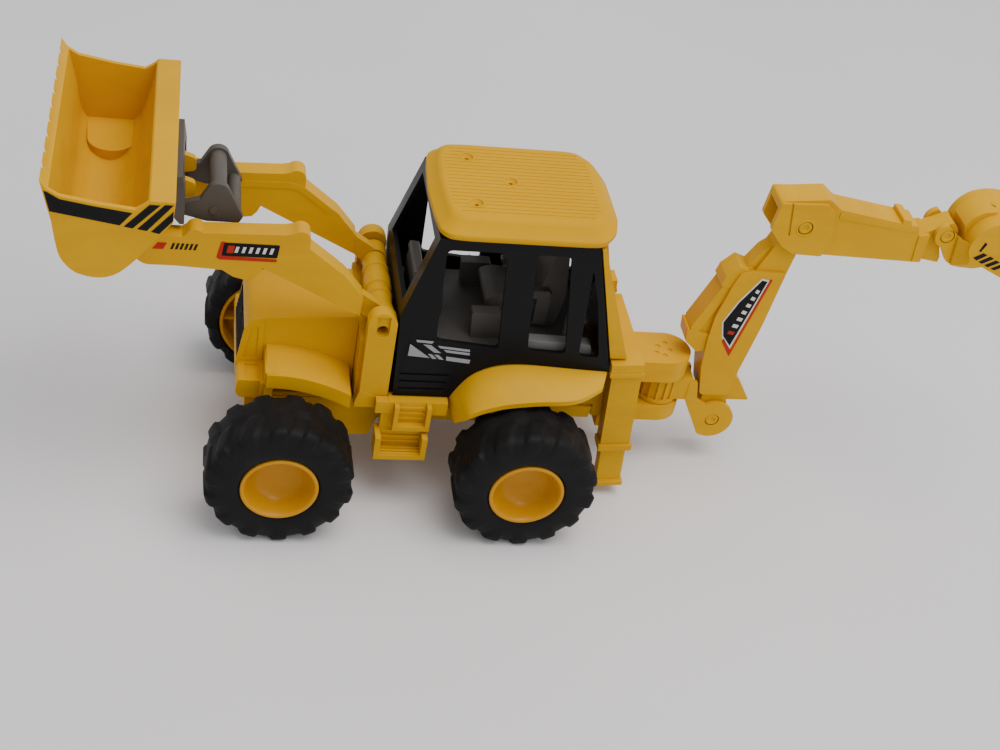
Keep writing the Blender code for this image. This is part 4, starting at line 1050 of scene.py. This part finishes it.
def make_dipper():
    beam = rounded([
        (-99.8, 144.8), (-98.4, 131.4), (-105.0, 123.8), (-111.0, 120.0), (-130.0, 119.2),
        (-171.0, 118.2), (-171.0, 133.2), (-166.4, 131.6), (-164.5, 136.6), (-160.0, 137.0),
        (-127.0, 142.4), (-121.0, 147.2), (-104.0, 145.4),
    ], 0.9)
    head = rounded([
        (-99.4, 144.6), (-98.0, 131.2), (-104.8, 123.4), (-111.0, 119.6), (-124.0, 119.2),
        (-127.0, 127.0), (-124.0, 142.0), (-120.0, 145.4),
    ], 0.9)
    tongue = [(-166.0, 131.0), (-166.0, 120.0), (-180.2, 117.8), (-180.4, 120.4), (-178.0, 127.2)]
    tongue += arc(SCOOP_PIVOT, 5.6, -110, -250, 12)[1:]
    rail = rounded([(-127.0, 141.6), (-164.0, 136.0), (-164.4, 133.4), (-127.0, 138.2)], 0.8)
    end = rounded([(-166.0, 132.0), (-170.9, 132.8), (-170.9, 118.6), (-167.0, 118.6)], 0.6)
    ring = [(3.3, 8.0), (4.1, 8.0), (4.3, 7.6), (3.3, 7.6)]
    stop = rounded([(-156.4, 135.0), (-156.7, 139.6), (-160.4, 139.2), (-161.4, 134.0)], 0.5)
    solids = [prism(head, -EAR_OUTER, EAR_OUTER), prism(tongue, -4.9, 4.9),
              prism(stop, -BOOM_HALF, BOOM_HALF)]
    for side, _ in SIDES:
        solids.append(prism(rail, *between(side, 6.2, 6.8)))
        solids.append(prism(end, *between(side, 6.2, 7.0)))
        solids.append(turned([(r, side * y) for r, y in ring], DIPPER_PIVOT, 40))
    slot = box((-134.0, -90.0), (-EAR_INNER, EAR_INNER), (110.0, 141.0))
    line = [(-103.6, 145.0), (-104.5, 145.0), (-107.1, 129.0), (-106.2, 129.0)]
    dipper = cut(joined(prism(beam, -BOOM_HALF, BOOM_HALF), *solids),
                 slot, pin_hole(DIPPER_PIVOT), pin_hole(SCOOP_PIVOT), *pair(line, 7.2, 9.0))
    arm_piece("dipper_beam", dipper, "dipper_arm", "dipper", 0.5)
    arm_piece("scoop_pivot_pin", pin_solid(SCOOP_PIVOT), "dipper_arm", "scoop_pin", 0)


def scoop_ears():
    """The bucket's two pivot ears and the shoulders that spread from them."""
    ear = arc(SCOOP_PIVOT, 5.6, 80, -80, 16)
    ear += [(-182.0, 120.5), (-187.2, 118.0), (-191.5, 119.2), (-194.2, 122.4), (-199.0, 124.0),
            (-203.0, 136.0), (-201.2, 139.0), (-197.2, 138.9), (-194.0, 135.6), (-190.6, 130.8),
            (-186.6, 131.2), (-182.0, 134.6)]
    near = [(-183.0, 134.2), (-187.4, 131.4), (-190.8, 131.6), (-194.4, 136.4), (-199.0, 140.4),
            (-199.0, 124.0), (-193.6, 121.2), (-188.6, 118.6), (-184.4, 119.4)]
    far = [(-188.4, 133.2), (-190.6, 132.6), (-192.6, 134.2), (-196.0, 139.6), (-200.0, 143.0),
           (-200.0, 124.0), (-195.6, 122.4), (-192.4, 121.6), (-189.6, 123.4)]
    ears = pair(rounded(ear, 1.2), EAR_INNER, EAR_OUTER)
    for side, _ in SIDES:
        rings = ((near, 7.0), (near, 9.0), (far, SCOOP_HALF))
        ears.append(stacked([[(x, side * y, z) for x, z in ring] for ring, y in rings]))
    return ears


def make_scoop():
    skin = flowing([
        (-189.2, 126.2), (-187.0, 131.0), (-187.8, 136.4), (-190.6, 141.0), (-195.2, 144.3),
        (-202.2, 145.8), (-209.4, 145.0), (-216.4, 141.2), (-221.6, 134.0), (-224.0, 124.0),
        (-224.5, 112.0)], 4)
    outline = skin + [(-215.0, 114.8), (-205.6, 118.2), (-195.4, 123.0)]
    wall = 1.8
    inner = drawn_in(outline, wall)
    hollow = inner[3:len(skin) - 2] + [(-222.6, 100.0), (-191.4, 100.0), (-191.0, 124.0)]
    room = prism(hollow, wall - SCOOP_HALF, SCOOP_HALF - wall)
    notches = []
    teeth = 5
    pitch = 2 * SCOOP_HALF / teeth
    for i in range(1, teeth):
        y = -SCOOP_HALF + i * pitch
        notches.append(box((-230.0, -221.4), (y - 1.2, y + 1.2), (100.0, 116.0)))
    hump = prism([(-185.6, 138.4), (-187.6, 142.4), (-192.4, 145.6), (-198.0, 146.4), (-196.0, 142.0),
                  (-190.6, 138.0), (-188.6, 132.8), (-187.0, 132.4)], -6.4, 6.4)
    shell = joined(prism(outline, -SCOOP_HALF, SCOOP_HALF), hump, *scoop_ears())
    dimple = turned([(0, 143.2), (1.2, 143.6), (1.9, 150.0), (0, 150.0)], (-198.4, 0.0), 20, "Z")
    shell = cut(shell, room, *notches, pin_hole(SCOOP_PIVOT), dimple)
    arm_piece("digging_bucket", shell, "scoop", "rear_bucket", 0.5)


# ---------------------------------------------------------------- markings

def sticker(name, outline, face, ink, layer=0):
    """A thin printed patch on a side face; its mirror twin is on the far side."""
    body, depth = face
    for side, label in SIDES:
        solid = prism(outline, *between(side, depth + 0.01, depth + PRINT_LAYERS[layer]))
        piece(f"{name}_{label}", solid, body, ink, (), 0)


def stickers(prefix, outlines, face, ink, layer=0):
    for i, outline in enumerate(outlines):
        sticker(f"{prefix}_{i}", outline, face, ink, layer)


def bar_row(start, step, count, width, low, high, lean):
    """Slanted bars in a row, each a four-cornered outline."""
    bars = []
    for i in range(count):
        x = start + step * i
        bars.append([(x, low), (x + width, low), (x + width + lean, high), (x + lean, high)])
    return bars


def make_arm_stickers():
    face = ("loader", ARM_OUTER)
    red = [(133.0, 115.2), (131.4, 122.8), (129.6, 122.8), (130.6, 116.2), (109.4, 115.6),
           (109.4, 114.3), (131.8, 114.3)]
    black = [(130.2, 122.4), (108.6, 122.4), (109.4, 116.2), (131.0, 116.2)]
    badge = [(126.6, 117.6), (129.2, 117.6), (128.6, 121.2), (126.0, 121.2)]
    tag = [(155.5, 120.9), (151.9, 120.9), (153.4, 117.8), (157.6, 117.8)]
    marks = bar_row(111.4, 2.7, 6, 1.2, 118.0, 120.8, -0.7)
    sticker("arm_patch_red", rounded(red, 0.5), face, INK_RED)
    sticker("arm_patch_black", rounded(black, 0.6), face, INK_BLACK, 1)
    stickers("arm_patch_mark", marks, face, INK_WHITE, 2)
    sticker("arm_patch_badge", rounded(badge, 0.4), face, INK_RED, 2)
    sticker("arm_tag", rounded(tag, 0.4), face, INK_RED)
    stickers("arm_bar", bar_row(141.0, 1.75, 6, 0.95, 118.0, 120.9, -0.9), face, INK_BLACK)


def make_boom_stickers():
    face = ("boom_arm", BOOM_HALF)
    red = [(-92.2, 69.6), (-97.6, 61.4), (-106.6, 104.6), (-105.4, 104.9), (-97.4, 65.2),
           (-92.6, 71.4)]
    white = [(-91.6, 72.0), (-96.9, 65.8), (-105.2, 104.2), (-101.6, 105.0), (-94.0, 92.0),
             (-89.6, 80.4)]
    black = [(-92.0, 72.8), (-96.5, 67.4), (-104.5, 103.6), (-101.9, 104.1), (-94.6, 91.6),
             (-90.2, 80.4)]
    sticker("boom_patch_red", rounded(red, 0.3), face, INK_RED)
    sticker("boom_patch_white", white, face, INK_WHITE)
    sticker("boom_patch_black", black, face, INK_BLACK, 1)
    count = 7
    for i in range(count):
        t = i / count
        x, z = -95.4 - 7.0 * t, 73.6 + 27.0 * t
        w = 1.9 - 1.0 * t
        mark = [(x - w * 0.5, z), (x + w, z + 0.7), (x + w - 0.5, z + 2.4), (x - w * 0.5 - 0.5, z + 1.7)]
        sticker(f"boom_patch_mark_{i}", mark, face, INK_WHITE if i else INK_RED, 2)


def make_bucket_stickers():
    face = ("bucket", BUCKET_HALF)
    band = [(195.2, 159.0), (194.0, 158.5), (189.8, 155.8), (178.0, 153.6), (164.4, 151.6),
            (168.8, 146.0), (180.0, 148.0), (193.3, 150.4)]
    sticker("bucket_band", band, face, INK_BLACK)
    stickers("bucket_stripe", [
        [(158.4, 155.6), (154.6, 155.6), (164.2, 145.0), (167.4, 145.6)],
        [(153.0, 155.9), (149.9, 155.9), (159.2, 144.2), (162.6, 144.8)],
        [(149.9, 153.2), (149.9, 149.2), (154.7, 143.2), (157.7, 143.9)],
    ], face, INK_BLACK)


def make_cab_stickers():
    face = ("tractor", CAB_HALF)
    sticker("cab_wedge", [(52.7, 81.6), (52.9, 75.4), (43.6, 74.6)], face, INK_SILVER)
    stickers("cab_mark", [
        [(50.4, 83.9), (43.0, 83.4), (43.6, 82.2), (50.0, 82.7)],
        [(42.6, 74.3), (40.6, 74.2), (43.0, 76.6), (44.6, 76.7)],
        [(39.6, 74.1), (37.6, 73.9), (40.0, 76.3), (42.0, 76.5)],
        [(36.6, 73.6), (26.6, 72.4), (26.4, 74.4), (36.8, 75.7)],
        [(47.2, 81.6), (44.0, 81.4), (39.2, 77.4), (42.2, 77.6)],
        [(41.0, 81.2), (27.4, 79.8), (27.2, 78.6), (40.0, 80.0)],
        [(38.4, 79.2), (27.2, 78.0), (27.0, 76.8), (37.0, 77.9)],
    ], face, INK_SILVER)


def make_scoop_stickers():
    stickers("scoop_bar", [
        [(-190.4, 127.4), (-192.4, 126.0), (-196.6, 129.0), (-194.4, 130.0)],
        [(-193.6, 125.4), (-195.6, 124.4), (-200.4, 127.4), (-198.2, 128.4)],
        [(-197.0, 123.8), (-199.0, 122.8), (-203.8, 125.6), (-201.6, 126.6)],
        [(-200.6, 122.2), (-202.6, 121.4), (-207.2, 123.8), (-205.0, 124.8)],
        [(-191.8, 131.0), (-192.8, 130.4), (-194.4, 134.6), (-193.2, 135.6)],
    ], ("scoop", SCOOP_HALF), INK_BLACK)


# ---------------------------------------------------------------- scene

def make_chassis():
    line = [
        (-33.0, 40.0), (-12.5, 40.0), (-11.0, 22.0), (11.0, 22.0), (13.0, 36.0), (61.0, 36.0),
        (64.0, 26.0), (93.0, 26.0), (94.5, 22.0), (112.5, 22.0), (118.0, 27.0),
    ]
    corners = [(118.0, 46.0), (-33.0, 46.0)]
    wall = 2.5
    bore = 2.3
    axles = (0.0, WHEELBASE)
    tray = prism(rounded(line, 1.4)[2:-2] + corners, -CHASSIS_HALF, CHASSIS_HALF)
    room = drawn_in(line + corners, wall)[:-2] + [(115.5, 51.0), (-30.5, 51.0)]
    tools = [prism(room, wall - CHASSIS_HALF, CHASSIS_HALF - wall)]
    tools += [rod((x, AXLE_HEIGHT), bore, -40, 40) for x in axles]
    for x, floor in ((84.0, 26.0), (-20.0, 40.0)):
        for y in (16.0, -16.0):
            tools.append(post((x, y), 3.4, floor - 1.0, floor + 1.4, 28))
            tools.append(post((x, y), 1.6, floor, floor + 8.0, 20))
    rings = []
    for x in axles:
        for side, _ in SIDES:
            low, high = between(side, 26.5, 28.2)
            rings.append(turned([(bore, low), (5.0, low), (5.0, high), (bore, high)], (x, AXLE_HEIGHT)))
    ribs = [box((x - 0.8, x + 0.8), (-20.0, 20.0), (35.2, 37.0)) for x in (20.0, 30.0, 40.0, 50.0)]
    body_piece("chassis_tray", joined(cut(tray, *tools), *rings, *ribs), "chassis", 0.6)
    for i in range(1, 5):
        carried(f"chassis_screw_{i}", SCREW)


def make_floor():
    mesh = bmesh.new()
    size = 3.0
    corners = [(-size, -size, 0), (size, -size, 0), (size, size, 0), (-size, size, 0)]
    mesh.faces.new([mesh.verts.new(c) for c in corners])
    s = Shader("floor_pale")
    patches = s.remap(s.noise(2.5, 4.0), 0.3, 0.7, 0.0, 1.0)
    s.give("Base Color", s.blend(patches, (0.70, 0.68, 0.675), (0.66, 0.635, 0.63)))
    s.give("Roughness", 0.5)
    s.bump([(s.noise(400.0, 3.0), 0.05, 0.0002)])
    thing = placed("floor", settled("floor", mesh))
    thing.data.materials.append(s.material)


def make_light(name, place, target, size, power, colour):
    data = bpy.data.lights.new(name, "AREA")
    data.shape = "RECTANGLE"
    data.size, data.size_y = size
    data.energy = power
    data.color = colour
    thing = placed(name, data)
    thing.location = place
    direction = Vector(target) - Vector(place)
    thing.rotation_euler = direction.to_track_quat("-Z", "Y").to_euler()


def make_studio():
    world = bpy.data.worlds.new("studio")
    world.use_nodes = True
    background = world.node_tree.nodes["Background"]
    background.inputs["Color"].default_value = (0.93, 0.95, 1.0, 1.0)
    background.inputs["Strength"].default_value = 0.8
    bpy.context.scene.world = world
    make_light("key", (-0.35, 0.25, 1.6), (0.0, 0.0, 0.05), (1.2, 1.2), 24.0, (1.0, 0.98, 0.95))
    make_light("fill", (-1.3, 1.2, 1.0), (0.0, 0.0, 0.08), (1.6, 1.2), 7.0, (0.95, 0.97, 1.0))


def make_camera():
    """The photo's camera: its own right, up and back directions and its place."""
    data = bpy.data.cameras.new("camera")
    data.sensor_width = 36.0
    data.lens = 56.84
    data.clip_start = 0.01
    right = Vector((-0.97794, 0.13478, 0.1596))
    up = Vector((0.03783, -0.63709, 0.76986))
    back = Vector((0.20544, 0.75891, 0.61794))
    turn = Matrix((right, up, back)).transposed().to_4x4()
    thing = placed("camera", data)
    thing.matrix_world = Matrix.Translation(at(149.545, 539.253, 479.104)) @ turn
    bpy.context.scene.camera = thing


make_wheels()
make_chassis()
make_hood()
make_grille()
make_mast()
make_steps()
make_cab()
make_roof()
make_interior()
make_seat()
make_rear_fenders()
make_rear_body()
make_stabilisers()
make_arms()
make_bucket()
make_bracket()
make_swing()
make_boom()
make_dipper()
make_scoop()
make_arm_stickers()
make_boom_stickers()
make_bucket_stickers()
make_cab_stickers()
make_scoop_stickers()
make_floor()
make_studio()
make_camera()
